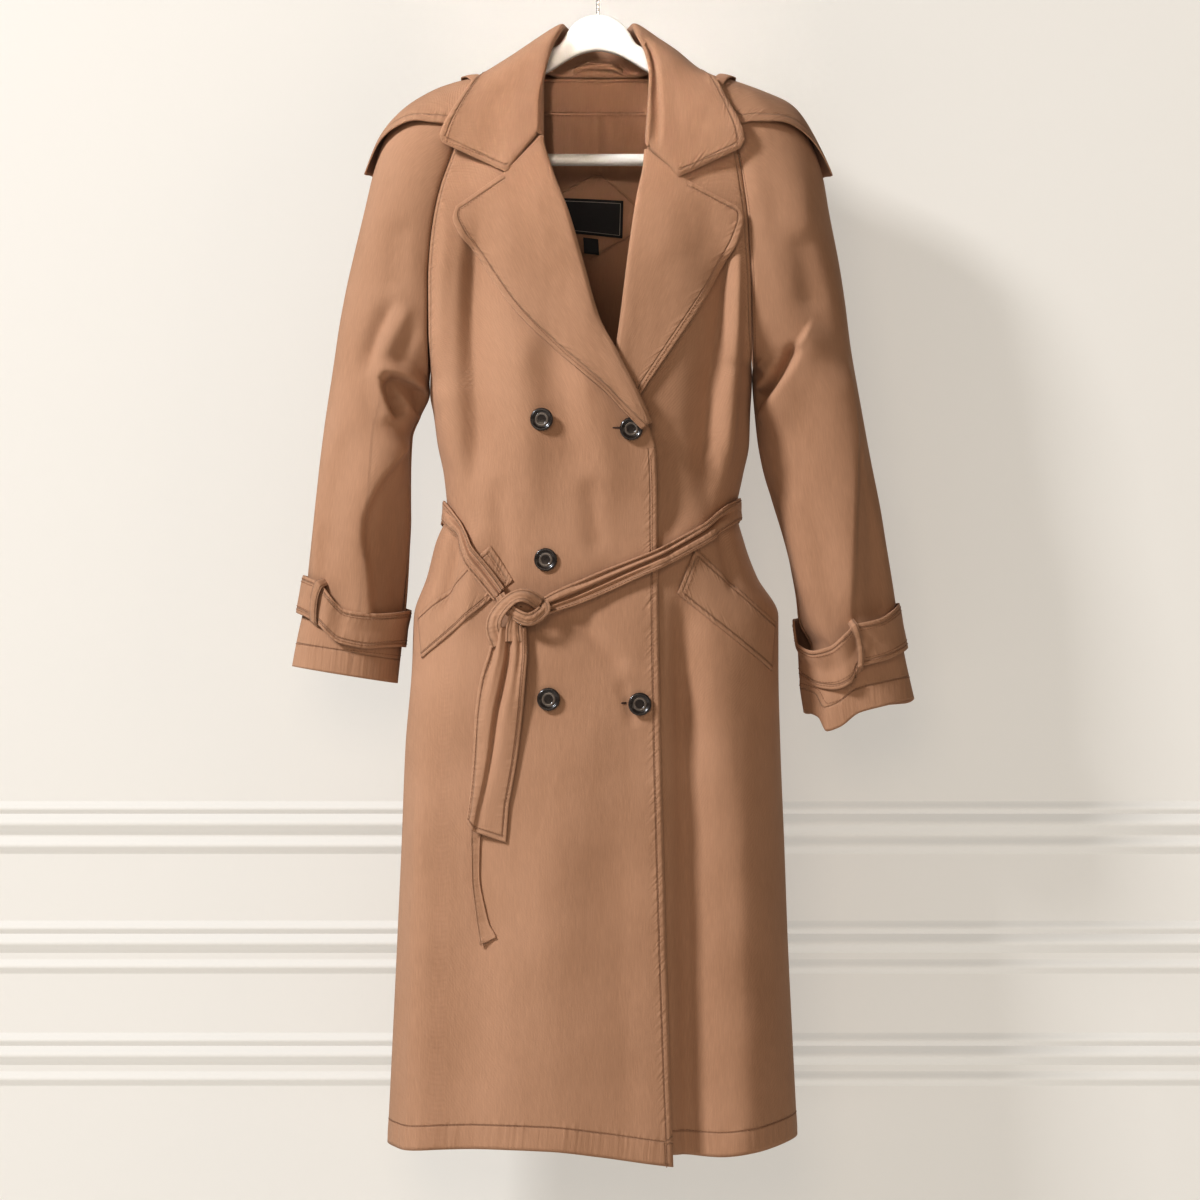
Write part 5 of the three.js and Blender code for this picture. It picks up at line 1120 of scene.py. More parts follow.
def makeCollar():
    coarse = collarStations()
    spread = np.r_[0, np.cumsum(np.linalg.norm(np.diff(coarse[:, 6:9], axis=0), axis=1) + 4)]
    at = np.linspace(0, spread[-1], 190)
    fine = np.stack([soft(spread, coarse[:, k])(at) for k in range(10)], axis=1)
    neck, crest, edge, sag = fine[:, :3], fine[:, 3:6], fine[:, 6:9], fine[:, 9]
    up, fall = crest - neck, edge - crest
    size = np.minimum(collar["crestRound"], np.linalg.norm(up, axis=1) * 0.45)
    over = unit(unit(up) + unit(fall)) * size[:, None]
    stand = bezier((neck, neck + 0.35 * up, crest - over, crest), np.linspace(0, 1, 14))
    leaf = bezier((crest, crest + over, crest + 0.4 * fall, edge), np.linspace(0, 1, 46) ** 1.15)
    out = np.linalg.norm(leaf - crest[:, None], axis=-1) / np.linalg.norm(fall, axis=1)[:, None]
    notch = collar["notchAt"]
    tent = np.clip(np.where(out < notch, out / notch, (1 - out) / (1 - notch)), 0, 1)
    leaf[..., 2] -= sag[:, None] * tent
    x, z = leaf[..., 0], leaf[..., 2]
    seamX = bySide(x, lambda side: side["seamX"](np.minimum(z, -139)))
    held = np.clip(x, -seamX, seamX)
    under = bodyPoint("front", held, z, collar["rise"] + overRise(held, z) * (x < 0))[0][..., 1]
    under -= 4.6 * ramp(0.7, 1.0, out)
    inFront = ramp(-2, -28, leaf[..., 1]) * ramp(-128, -152, z) * ramp(40, 58, np.abs(x))
    gap = leaf[..., 1] - under
    leaf[..., 1] -= np.where(gap > -3, (gap + np.sqrt(gap * gap + 9)) / 2, 0) * inFront
    grid = smoothed(np.concatenate([stand[:, :-1], leaf], axis=1), 5)
    column = stand.shape[1] - 1
    facing = ramp(10, -14, grid[..., 1])
    fallen = np.linspace(0, 1, grid.shape[1]) > column / grid.shape[1]
    outward = gridNormals(grid, -1)
    push = creaseHeight(collarCreases, grid[..., 0], grid[..., 2]) * facing * fallen[None, :]
    push += unevenness(21, grid[..., 0], grid[..., 2], 70, 0.7) * fallen[None, :]
    grid += outward * push[..., None]
    across, along = lengths(grid, 1), lengths(grid, 0)
    fromEdge = across[:, -1:] - across
    fromEnd = np.minimum(along, along[-1:] - along)
    number = np.arange(grid.shape[1])[None, :]
    sewn = fallen[None, :] * ramp(collar["notchColumn"] + 1, collar["notchColumn"] - 3, number - column)
    grid -= outward * (2.6 * np.exp(-((fromEnd / 4) ** 2)) * sewn)[..., None]
    corner = 0.08 * ramp(7, 0, fromEnd) * ramp(7, 0, fromEdge)
    for part, row in ((slice(0, 30), 8), (slice(-30, None), -9)):
        grid[part] += (grid[row, -10] - grid[part]) * corner[part][..., None]
    fromEnd = np.where(number > column + collar["notchColumn"], fromEnd, 99)
    fromSeam = np.minimum(fromEdge, fromEnd)
    piece = cloth("collar", grid, collar["cloth"], skins, -1, (fromSeam, across + along))
    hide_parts("collar")
    last = int(np.argmin(np.abs(fromEdge[60] - coat["stitchIn"])))
    first = int(np.argmin(np.abs(along[:40, -8] - coat["stitchIn"])))
    final = len(grid) - 1 - int(np.argmin(np.abs((along[-1:] - along)[::-1][:40, -8] - coat["stitchIn"])))
    stitch((grid + outward * 0.15)[first : final + 1, last])
    for row in (first, final):
        stitch((grid + outward * 0.15)[row, column + collar["notchColumn"] + 2 : last + 1])
    return piece


collarPiece = makeCollar()
print("collar turned down")

lapels = {
    "rise": 4.6,
    "open": 8.4,  # where the roll ends, over the button
    "notchAt": 0.4,
    "right": [  # level of the roll line, free edge x and level, from the gorge down
        (-207.5, -148, -282.5), (-232, -151, -295), (-260, -145, -310), (-300, -127, -336), (-343, -90, -388),
        (-397, -42, -436), (-440, 6, -477), (-477, 28, -501), (-512, 44, -518),
    ],
    "left": [
        (-222.5, 146, -283.5), (-236, 151, -295), (-266, 145, -318), (-307, 126, -357), (-358, 90, -412),
        (-412, 54, -465), (-452, 38, -488), (-479, 18, -504),
    ],
    "sag": {"right": 8, "left": 6},
}
lapelCreases = [
    {"path": [(-60, -250), (-62, -300), (-34, -360)], "wide": (12, 14), "deep": 1.6},
    {"path": [(72, -262), (76, -300), (60, -350)], "wide": (14, 12), "deep": 1.5},
    {"path": [(-104, -262), (-110, -290), (-92, -330)], "wide": (10, 16), "deep": -1.4},
    {"path": [(108, -272), (116, -300), (98, -350)], "wide": (12, 12), "deep": -1.2},
]


def makeLapel(name):
    side, which = sides[name], "over" if name == "right" else "under"
    table = np.array(lapels[name], float)
    freeX, freeZ = soft(table[:, 0], table[:, 1]), soft(table[:, 0], table[:, 2])
    top, bottom = table[0, 0], table[-1, 0]
    levels = top + (bottom - top) * np.linspace(0, 1, 130) ** 1.12
    edge, out = onFront(edgeX[which](levels), levels, 0, which)
    rise = mix(lapels["rise"], lapels["open"],
        ramp(-440, -495, levels)) if name == "right" else lapels["rise"] + 0 * levels
    run = np.gradient(edge, axis=0)
    inward = unit(np.cross(run, out)) * side["sign"]
    radius = (rise + coat["cloth"]) / 2
    middle = edge + out * (radius - coat["cloth"])[:, None] + inward * coat["seamGap"]
    angles = np.radians(np.linspace(0, 170, 10))
    turned = [middle + (inward * math.sin(a) - out * math.cos(a)) * radius[:, None] for a in angles]
    share = np.linspace(0.0, 1, 46)[None, :]
    notch = lapels["notchAt"]
    tent = np.where(share < notch, share / notch, (1 - share) / (1 - notch))
    close = np.exp(-(((levels - top) / 9) ** 2))[:, None]
    x = mix(edge[:, :1], freeX(levels)[:, None], share)
    z = mix(levels[:, None], freeZ(levels)[:, None], share) - lapels["sag"][name] * tent * close
    fromRoll = share * np.hypot(freeX(levels) - edge[:, 0], freeZ(levels) - levels)[:, None]
    lift = 1.8 * np.exp(-(((fromRoll - 9) / 13) ** 2)) + 1.4 * ramp(0.75, 1, share) * ramp(8, 40, fromRoll)
    flat = onFront(x, z, rise[:, None] + lift, which)[0]
    bridged = smoothed(flat, 60)
    flat[..., 1] = np.minimum(bridged[..., 1], flat[..., 1] + 1.0)
    flat[..., 1] -= creaseHeight(lapelCreases, x, z) + unevenness(31 + side["sign"], x, z, 80, 0.5)
    grid = smoothed(np.concatenate([np.stack(turned, axis=1), flat], axis=1), 2)
    sense = 1 if name == "right" else -1
    outward = gridNormals(grid, sense)
    across, down = lengths(grid, 1), lengths(grid, 0)
    fromFree = across[:, -1:] - across
    isTop = np.arange(grid.shape[1])[None, :] > 10 + 46 * notch
    fromTop = np.where(isTop, down, 99)
    fromSeam = np.minimum(fromFree, fromTop)
    piece = cloth(f"lapel_{name}", grid, coat["cloth"], skins, sense, (fromSeam, across + down))
    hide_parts(f"lapel_{name}")
    column = int(np.argmin(np.abs(fromFree[40] - coat["stitchIn"])))
    row = int(np.argmin(np.abs(down[:, 40] - coat["stitchIn"])))
    stitch((grid + outward * 0.15)[row:-8, column])
    stitch((grid + outward * 0.15)[row, 32 : column + 1])
    return piece


lapelPieces = {name: makeLapel(name) for name in ("right", "left")}
print("lapels laid over")

welts = {
    "columns": 60,
    "rows": 22,
    "right": {"high": ((-187, -711), (-112, -638)), "low": ((-184, -756), (-88, -675))},
    "left": {"high": ((184, -718), (101, -641)), "low": ((181, -769), (83, -688))},
    "rise": {"high": (3.6, 1.7), "low": (1.9, 1.7)},  # outer, inner
}


def makeWelt(name):
    ends, which = welts[name], "over" if name == "right" else "under"
    t = np.linspace(0, 1, welts["columns"])[None, :]
    down = np.linspace(0, 1, welts["rows"])[:, None]
    edge = {key: [mix(ends[key][0][axis], ends[key][1][axis], t) for axis in (0, 1)] for key in ("high",
        "low")}
    x, z = (mix(edge["high"][axis], edge["low"][axis], down) for axis in (0, 1))
    lay = ramp(0, 0.6, t)
    rise = mix(mix(*welts["rise"]["high"], lay), mix(*welts["rise"]["low"], lay), down)
    grid, _ = onFront(x, z, rise, which)
    grid = smoothed(grid, 6)
    grid[..., 1] -= 0.5 * np.sin(math.pi * down) + unevenness(41, x, z, 46, 0.35)
    sense = -1 if name == "right" else 1
    across, along = lengths(grid, 0), lengths(grid, 1)
    fromLong = np.minimum(across, across[-1:] - across)
    fromInner = along[:, -1:] - along
    fromSeam = np.minimum(fromLong, fromInner) + 2
    piece = cloth(f"pocket_welt_{name}", grid, coat["cloth"], skins, sense, (fromSeam, across + along))
    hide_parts(f"pocket_welt_{name}")
    outward = gridNormals(grid, sense)
    inset = int(np.argmin(np.abs(across[:, 20] - 5)))
    stitch((grid + outward * 0.15)[inset, 1:-4])
    stitch((grid + outward * 0.15)[-1 - inset, 1:-4])
    stitch((grid + outward * 0.15)[inset:-inset, -5])
    return piece


weltPieces = {name: makeWelt(name) for name in ("right", "left")}
print("welts set")


# belt, knot and its two free ends
belt = {
    "cloth": 2.2,
    "waist": {"right": -606, "left": -601, "back": -602, "half": 18, "endHalf": 9, "rise": 3.0, "endTurn": 1},
    "right": [  # x, level, half width, lean, rise
        (-160.2, -601, 11, 2, 4.2), (-152, -611, 10.5, 14, 5), (-141, -629, 9.5, 27, 6),
            (-130, -649, 9, 34, 7.5),
        (-116, -668, 9, 38, 10), (-100, -689, 8.5, 38, 12),
    ],
    "left": [
        (-58, -703, 8.5, -18, 12), (-40, -695, 10.5, -20, 11), (-22, -688, 11.5, -22, 9),
            (6, -676, 11.5, -24, 7.6),
        (36, -663, 10.5, -25, 7.4), (66, -650, 10, -25, 8.4), (90, -637, 10, -27, 8),
            (112, -624, 10, -26, 6.6),
        (129, -610, 10.5, -22, 5.6), (139, -603, 11, -10, 5.2), (147, -599, 11.5, -2, 4.2),
    ],
}


def stationLine(table, count):  # each column read softly along the line that the stations make
    table = np.array(table, float)
    length = np.r_[0, np.cumsum(np.hypot(*np.diff(table[:, :2], axis=0).T))]
    at = np.linspace(0, length[-1], count)
    return at / length[-1], [soft(length, table[:, k])(at) for k in range(table.shape[1])]


def makeStrip(name, table, count, creases):
    # a crease: place across at both ends (1 is the upper edge), width, depth and where it fades
    along, (x, z, half, lean, rise) = stationLine(table, count)
    v = np.linspace(1, -1, 30)[:, None]
    turn = np.radians(lean)[None, :]
    profile = 0.9 * (1 - v**4) + 0 * along[None, :]
    for start, end, wide, deep, fadeIn, fadeOut in creases:
        share = along[None, :]
        off = v - mix(start, end, share)
        bell = np.exp(-((off / np.where(off < 0, wide[0], wide[1])) ** 2))
        profile += deep * bell * ramp(fadeIn[0], fadeIn[1], share) * ramp(fadeOut[1], fadeOut[0], share)
    px = x[None, :] + v * half[None, :] * np.sin(turn)
    pz = z[None, :] + v * half[None, :] * np.cos(turn)
    grid, _ = onFront(px, pz, rise[None, :] + profile + unevenness(51, px, pz, 34, 0.3))
    across, run = lengths(grid, 0), lengths(grid, 1)
    fromSeam = np.minimum(across, across[-1:] - across) + 3.6
    piece = cloth(name, grid, belt["cloth"], skins, -1, (fromSeam, run))
    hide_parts(name)
    for line in (3, -4):
        stitch((grid - np.array([0, 0.15, 0]))[line])
    return piece


beltRight = makeStrip(
    "belt_front_right",
    belt["right"],
    90,
    [
        (0.3, 0.1, (0.14, 0.2), -5.0, (0, 0.2), (0.98, 1.2)),
        (-0.35, -0.5, (0.2, 0.14), -2.6, (0.3, 0.6), (1.2, 1.4)),
        (0.75, 0.5, (0.2, 0.2), 1.4, (0.2, 0.6), (1.2, 1.4)),
    ],
)
beltLeft = makeStrip(
    "belt_front_left",
    belt["left"],
    180,
    [
        (0.0, 0.25, (0.22, 0.09), -6.4, (-0.3, -0.1), (0.86, 0.98)),
        (0.62, 0.72, (0.2, 0.1), -3.8, (0.12, 0.3), (0.62, 0.8)),
        (-0.5, -0.45, (0.22, 0.12), -3.0, (-0.1, 0.05), (0.4, 0.6)),
        (0.3, 0.5, (0.3, 0.3), 1.5, (0.0, 0.1), (0.5, 0.8)),
    ],
)


def makeWaist():
    size = belt["waist"]
    t = np.linspace(0, 1, 170)
    turn = np.radians(mix(-90 - size["endTurn"], 90 + size["endTurn"], t))
    middle = np.sin(math.pi * t)
    level = mix(mix(size["right"], size["left"], t), size["back"], middle)
    tall = mix(size["endHalf"], size["half"], ramp(0, 0.5, middle))
    v = np.linspace(1, -1, 20)[:, None]
    z = level[None, :] + v * tall[None, :]
    u = np.abs(np.sin(turn)) ** (2 / coat["square"])
    x = np.sign(turn) * u * np.where(turn < 0, sides["right"]["seamX"](z), sides["left"]["seamX"](z))
    rise = size["rise"] + 0.5 * (1 - v**4) + unevenness(55, x, z, 60, 0.3)
    ahead = np.abs(turn)[None, :, None] > math.pi / 2
    grid = np.where(ahead, onFront(x, z, rise)[0], bodyPoint("back", x, z, rise)[0])
    across, run = lengths(grid, 0), lengths(grid, 1)
    fromSeam = np.minimum(across, across[-1:] - across) + 2
    piece = cloth("belt_waist", grid, belt["cloth"], skins, 1, (fromSeam, run))
    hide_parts("belt_waist")
    return piece


beltWaist = makeWaist()


def sweptBand(name, path):
    # path: x, level, rise, half width, twist in degrees out of the front's face
    table = np.array(path, float)
    length = np.r_[0, np.cumsum(np.linalg.norm(np.diff(table[:, :3], axis=0), axis=1))]
    at = np.linspace(0, length[-1], 64)
    x, z, rise, half, twist = (throughPoints(np.stack([length, table[:, k]], axis=1), 64)[:,
        1] for k in range(5))
    places, out = onFront(x, z, rise)
    places, out = smoothed(places[:, None].repeat(3, 1), 0)[:, 1], unit(out)
    run = unit(np.gradient(places, axis=0))
    side = unit(np.cross(run, out))
    face = unit(np.cross(side, run))
    angle = np.radians(twist)[:, None]
    wide = side * np.cos(angle) + face * np.sin(angle)
    high = face * np.cos(angle) - side * np.sin(angle)
    v = np.linspace(-1, 1, 17)
    bulge = (
        1.5 * (1 - v**2)
        - 1.1 * np.exp(-(((v - 0.25) / 0.22) ** 2))
        - 0.7 * np.exp(-(((v + 0.45) / 0.18) ** 2))
    )
    grid = places[:, None] + wide[:, None] * (v[None, :, None] * half[:, None, None])
    grid += high[:, None] * bulge[None, :, None]
    normals = gridNormals(grid, 1)
    flip = np.sign(np.sum(normals * high[:, None], axis=-1).mean())
    across, along = lengths(grid, 1), lengths(grid, 0)
    fromSeam = np.minimum(across, across[:, -1:] - across) + 3.8
    return cloth(name, grid, 1.8, skins, int(flip), (fromSeam, along))


def makeKnot():
    bands = [
        sweptBand("knot_over", [
            (-100, -742, 9, 9.5, 0), (-105, -722, 14, 9, 10), (-103, -705, 18, 8.5, 20),
                (-95, -694, 22, 8, 26),
            (-83, -690, 25, 7.5, 26), (-70, -692, 24, 7.5, 18), (-58, -699, 17, 7.5, 8),
        ]),
        sweptBand("knot_under", [
            (-99, -690, 13, 6, -10), (-93, -703, 17, 7, -20), (-84, -711, 20, 7.5, -28),
                (-72, -715, 22, 7.5, -26),
            (-61, -713, 22, 7, -18), (-54, -706, 19, 6.5, 0), (-56, -698, 15, 6, 10),
        ]),
        sweptBand("knot_tuck", [
            (-74, -696, 14, 6, 20), (-79, -703, 16, 6.5, 24), (-83, -712, 16, 7, 16), (-85, -724, 13, 8.5, 6),
            (-85, -738, 10.5, 9.5, 0),
        ]),
    ]
    core = np.stack(np.meshgrid(np.linspace(0.04, math.pi - 0.04, 20),
        np.linspace(0, 2 * math.pi, 33)[:-1], indexing="ij"), -1)
    centre = onFront(-78, -702, 14)[0]
    ball = np.stack([np.sin(core[..., 0]) * np.cos(core[..., 1]) * 17, np.cos(core[..., 0]) * 5.5,
        np.sin(core[..., 0]) * np.sin(core[..., 1]) * 13], axis=-1)
    middle = cloth("knot_core", centre + ball, 1.0, [tan], 1, None, True)
    for piece in (*bands, middle):
        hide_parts("belt_knot")
    return bands, middle


knotBands, knotCore = makeKnot()
print("belt tied")

# level, outer edge, fold, inner edge, rise, how far the inner part turns away, how deep the fold is
wideTail = [
    (-723, -106, -91, -73, 12, 0, 3), (-749, -112, -92, -72, 10, 0, 6), (-780, -121, -97, -74, 9.5, 0, 7),
    (-812, -125, -104, -77, 9.5, 3, 6), (-860, -128, -111, -83, 10, 6, 4.5),
        (-900, -131, -119, -90, 10.5, 7.5, 3),
    (-925, -134, -127, -95, 10.5, 8, 2),
]
narrowTail = [
    (-924, -131, -119, 4.6), (-950, -132, -123, 4.2), (-980, -132, -124, 4), (-1020, -128, -117, 3.7),
        (-1054, -123, -106, 3.7),
]


def makeWideTail():
    table = np.array(wideTail, float)
    z = np.linspace(table[0, 0], table[-1, 0], 150)
    x0, fold, x1, rise, away, deep = (soft(table[:, 0], table[:, k])(z)[:, None] for k in range(1, 7))
    v = np.linspace(-1, 1, 41)[None, :]
    x = np.where(v < 0, mix(fold, x0, -v), mix(fold, x1, v))
    level = z[:, None] + 0 * v
    end = ramp(-905, -925, level)
    level = level - 22 * end * (v + 1) / 2
    inner = np.clip(v, 0, 1)
    height = rise - deep * np.exp(-((v / np.where(v < 0, 0.09, 0.2)) ** 2)) - away * inner**0.8
    height += 1.6 * np.sin(math.pi * np.clip(-v, 0, 1)) + 2.2 * np.sin(math.pi * inner) * ramp(-900, -800,
        level)
    upper = ramp(-830, -740, level)
    height += upper * (2.4 * np.exp(-(((v + 0.42) / 0.14) ** 2)) - 3.4 * np.exp(-(((v + 0.72) / 0.12) ** 2)))
    height -= upper * 3.2 * np.exp(-(((v - 0.62) / 0.12) ** 2))
    height -= 2.5 * np.abs(v) ** 6 * ramp(-760, -730, level)
    grid, _ = onFront(x, level, height + unevenness(71, x, level, 70, 0.5))
    across, down = lengths(grid, 1), lengths(grid, 0)
    fromSeam = np.minimum(np.minimum(across, across[:, -1:] - across) + 2.5, down[-1:] - down + 2.5)
    piece = cloth("belt_tail_wide", grid, 1.8, skins, -1, (fromSeam, down))
    piece.data.materials[0] = tan
    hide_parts("belt_tail_wide")
    stitch((grid - np.array([0, 0.15, 0]))[4:-3, 3])
    stitch((grid - np.array([0, 0.15, 0]))[4:-3, -4])
    stitch((grid - np.array([0, 0.15, 0]))[-4, 3:-3])
    return piece


def makeNarrowTail():
    table = np.array(narrowTail, float)
    z = np.linspace(table[0, 0] + 16, table[-1, 0], 110)
    x0, x1, rise = (soft(table[:, 0], table[:, k])(z)[:, None] for k in range(1, 4))
    v = np.linspace(0, 1, 13)[None, :]
    x = mix(x0, x1, v)
    end = ramp(-1030, -1054, z)[:, None]
    level = z[:, None] + 8 * end * v
    height = rise + 1.4 * np.exp(-(((v - 0.12) / 0.14) ** 2)) - 1.8 * ramp(0.25, 0.9, v)
    grid, _ = onFront(x, level, np.maximum(height, 2.1))
    across, down = lengths(grid, 1), lengths(grid, 0)
    piece = cloth("belt_tail_narrow", grid, 1.5, skins, -1, (across + 4.5, down))
    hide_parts("belt_tail_narrow")
    return piece


tailWide, tailNarrow = makeWideTail(), makeNarrowTail()
print("belt ends hung")


# cuff straps, the pieces inside the neck, buttons and the hanger
cuffs = {
    "right": {
        "inner": ((204, -704), (207, -744)), "outer": ((308, -670), (317, -709)), "bulge": 3, "loop": 38,
            "gape": 4,
        "top": [(-1, 0), (-0.76, 7), (-0.31, 16), (0.18, 21), (0.5, 8), (0.66, 1), (1, 0)],
        "low": [(-1, 0), (-0.68, 6), (-0.22, 15), (0.18, 17), (0.55, 5), (0.8, 1), (1, 0)],
    },
    "left": {
        "inner": ((215, -714), (217, -777)), "outer": ((313, -699), (325, -746)), "bulge": 4, "loop": 4,
            "gape": 7,
        "top": [(-1, 4), (-0.95, 26), (-0.63, 36), (-0.37, 34), (-0.06, 22), (0.08, 15), (0.52, 13),
            (0.9, 4), (1, 0)],
        "low": [(-1, 0), (-0.68, 15), (-0.29, 22), (-0.08, 19), (0.06, 5), (0.52, 6), (0.87, 3), (1, 0)],
    },
    "rise": 3.2,
    "cloth": 2.0,
    "loopHalf": 3.4,
}


def strapPoint(name, down, turn, rise, drop=0.0):
    side, strap = sides[name], cuffs[name]
    down, turn = np.broadcast_arrays(np.asarray(down, float), np.asarray(turn, float))

    def end(key):
        (topX, topZ), (lowX, lowZ) = strap[key]
        return np.stack([side["sign"] * mix(topX, lowX, down), 0 * down, mix(topZ, lowZ, down)], axis=-1)

    inner, outer = end("inner"), end("outer")
    depth = np.where(np.cos(turn) > 0, side["front"](side["last"]), side["back"](side["last"]))
    half = np.linalg.norm(outer - inner, axis=-1) / 2
    along = unit(outer - inner)
    place = (inner + outer) / 2 + along * (half * np.sin(turn))[..., None]
    place[..., 1] = -depth * np.cos(turn)
    across = np.sin(turn)
    sag = mix(soft(*zip(*strap["top"]))(across), soft(*zip(*strap["low"]))(across), down)
    place[..., 2] -= sag * ramp(-0.15, 0.25, np.cos(turn)) + drop
    out = along * (depth * np.sin(turn))[..., None]
    out[..., 1] = -half * np.cos(turn)
    out = unit(out)
    return place + out * np.asarray(rise)[..., None], out


def strapRise(name, down, turn):
    bulge = cuffs[name]["bulge"] * np.maximum(np.cos(turn - 0.5), 0) ** 2
    gape = cuffs[name]["gape"] * ramp(0.6, 0, down) * (0.55 + 0.45 * np.cos(turn + 0.6))
    near = np.arctan2(np.sin(turn - math.radians(cuffs[name]["loop"])),
        np.cos(turn - math.radians(cuffs[name]["loop"])))
    gathered = (
        3.0 * np.exp(-(((near + 0.22) / 0.12) ** 2))
        - 2.0 * np.exp(-(((near + 0.45) / 0.14) ** 2)) * ramp(1, 0.3, down)
    )
    sag = 0.5 * np.sin(3 * turn + 1.1) + 0.35 * np.sin(7 * turn) * ramp(0.2, 1, down)
    return cuffs["rise"] + bulge + gape + sag + gathered + 0.8 * np.sin(math.pi * down)


def makeStrap(name):
    turn = (math.pi + np.linspace(0, 2 * math.pi, 181))[None, :-1]
    down = np.linspace(0, 1, 24)[:, None]
    grid, out = strapPoint(name, down + 0 * turn, turn + 0 * down, strapRise(name, down, turn))
    sense = 1 if name == "left" else -1
    across, run = lengths(grid, 0), lengths(grid, 1)
    fromSeam = np.minimum(across, across[-1:] - across) + 2
    piece = cloth(f"cuff_strap_{name}", grid, cuffs["cloth"], skins, -sense, (fromSeam, run), True)
    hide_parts(f"cuff_strap_{name}")
    for line in (2, 4, -5, -3):
        stitch((grid + out * 0.15)[line])
    return piece


def makeCuffLoop(name):
    middle = math.radians(cuffs[name]["loop"])
    down = np.linspace(-0.3, 1.2, 64)[:, None]
    v = np.linspace(-1, 1, 13)[None, :]
    half = cuffs["loopHalf"] / 55 / max(math.cos(middle), 0.3)
    turn = middle + v * half + 0.05 * np.sin(3 * down)
    over = ramp(-0.2, 0.03, down) * ramp(1.16, 0.98, down)
    base = strapRise(name, np.clip(down, 0, 1), middle) - cuffs["rise"]
    rise = mix(-2.0, cuffs["rise"] + base + 3.4, over) + 1.0 * (1 - v**2) + 0.9 * np.sin(4 * down)
    grid, out = strapPoint(name, down + 0 * v, turn, rise + 0 * v)
    sense = 1 if name == "left" else -1
    across = lengths(grid, 1)
    fromSeam = np.minimum(across, across[:, -1:] - across) + 5.8
    piece = cloth(f"cuff_loop_{name}", grid, 1.4, skins, -sense, (fromSeam, lengths(grid, 0)))
    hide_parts(f"cuff_loop_{name}")
    return piece


cuffPieces = {}
for name in ("right", "left"):
    cuffPieces[name] = (makeStrap(name), makeCuffLoop(name))
print("cuffs strapped")

inside = {
    "cloth": 1.0,
    "rise": -3.2,
    "labelRise": -4.8,
    "facing": [(-139, -64, 64), (-152, -66, 66), (-165, -66, 66), (-178, -60, 60)],
    "patch": [(-237, -3, 3), (-249, -25, 17), (-261, -46, 31), (-274, -48, 45), (-302, -54, 42),
        (-316, -32, 16), (-330, -9, -7)],
    "label": [(-264, -267, -40, 27), (-301, -307, -34, 26)],
    "tag": [(-306, -308, -16, 0), (-323, -325, -15, 1)],
}


def insidePiece(name, levels, rise, materials, rows, columns, stitched):
    levels = np.array([(row[0], row[0], *row[1:]) if len(row) == 3 else row for row in levels], float)
    at = np.linspace(0, 1, len(levels))
    down = np.linspace(0, 1, rows)
    z0, z1, x0, x1 = (np.interp(down, at, levels[:, k])[:, None] for k in range(4))
    t = np.linspace(0, 1, columns)[None, :]
    x, z = mix(x0, x1, t), mix(z0, z1, t)
    grid, out = bodyPoint("back", x, z, rise)
    across, along = lengths(grid, 0), lengths(grid, 1)
    edges = [np.minimum(across, across[-1:] - across), np.minimum(along, along[:, -1:] - along)]
    fromSeam = np.minimum(*edges) + stitched
    piece = cloth(name, grid, inside["cloth"], materials, -1, (fromSeam, along + across))
    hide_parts(name)
    return piece, grid


facing, _ = insidePiece("neck_facing", inside["facing"], inside["rise"], [reverse], 24, 80, 3.5)
patch, _ = insidePiece("label_patch", inside["patch"], inside["rise"], [reverse], 50, 50, 3.5)
label, _ = insidePiece("neck_label", inside["label"], inside["labelRise"], [blackTape], 14, 26, 99)
tag, _ = insidePiece("size_tag", inside["tag"], inside["labelRise"], [blackTape], 8, 10, 99)


def makeLabelBorder():  # a woven line just inside the label's edge
    (a0, a1, x0, x1), (b0, b1, y0, y1) = inside["label"]
    inset, width = 2.6, 0.7
    ring = []
    for step in (inset, inset + width):
        corners = [(x0 + step, a0 - step), (x1 - step, a1 - step), (y1 - step, b1 + step),
            (y0 + step, b0 + step)]
        loop = [mix(np.array(corners[k]), np.array(corners[(k + 1) % 4]),
            t) for k in range(4) for t in np.linspace(0, 1, 13)[:-1]]
        ring.append(loop)
    flat = np.array(ring)
    grid, _ = bodyPoint("back", flat[..., 0], flat[..., 1], inside["labelRise"] - 0.25)
    return cloth("label_border", grid, 0.2, [paleTape], 1, None, True)


border = makeLabelBorder()


def makeHangerLoop():
    t = np.linspace(-1, 1, 60)[None, :]
    v = np.linspace(0, 1, 9)[:, None]
    z = mix(-123.5, -129.5, np.abs(t) ** 3) - 6 * v
    y = mix(26.6, 28.5, t * t) - 1.2 * np.sin(math.pi * v)
    grid = np.stack([26 * t + 0 * v, y + 0 * t, z + 0 * t], axis=-1)
    piece = cloth("hanger_loop", grid, 1.0, [tan], -1)
    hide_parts("hanger_loop")
    return piece


neckLoop = makeHangerLoop()
print("neck trimmed")


def lathe(name, profile, place, out, material, count=56):
    # turned about the way out of the coat, as (radius, height) from the middle outwards
    up = Vector(out)
    turn = up.to_track_quat("Z", "Y").to_matrix()
    points, faces = [], []
    for radius, height in profile:
        for k in range(count):
            angle = 2 * math.pi * k / count
            points.append(Vector(place) + turn @ Vector((radius * math.cos(angle),
                radius * math.sin(angle), height)))
    for i in range(len(profile) - 1):
        for k in range(count):
            a, b = i * count + k, i * count + (k + 1) % count
            faces.append((a, b, b + count, a + count))
    faces.append(tuple(range(count))[::-1])
    faces.append(tuple((len(profile) - 1) * count + k for k in range(count)))
    return addMesh(name, [tuple(p) for p in points], faces, [0] * len(faces), [material])


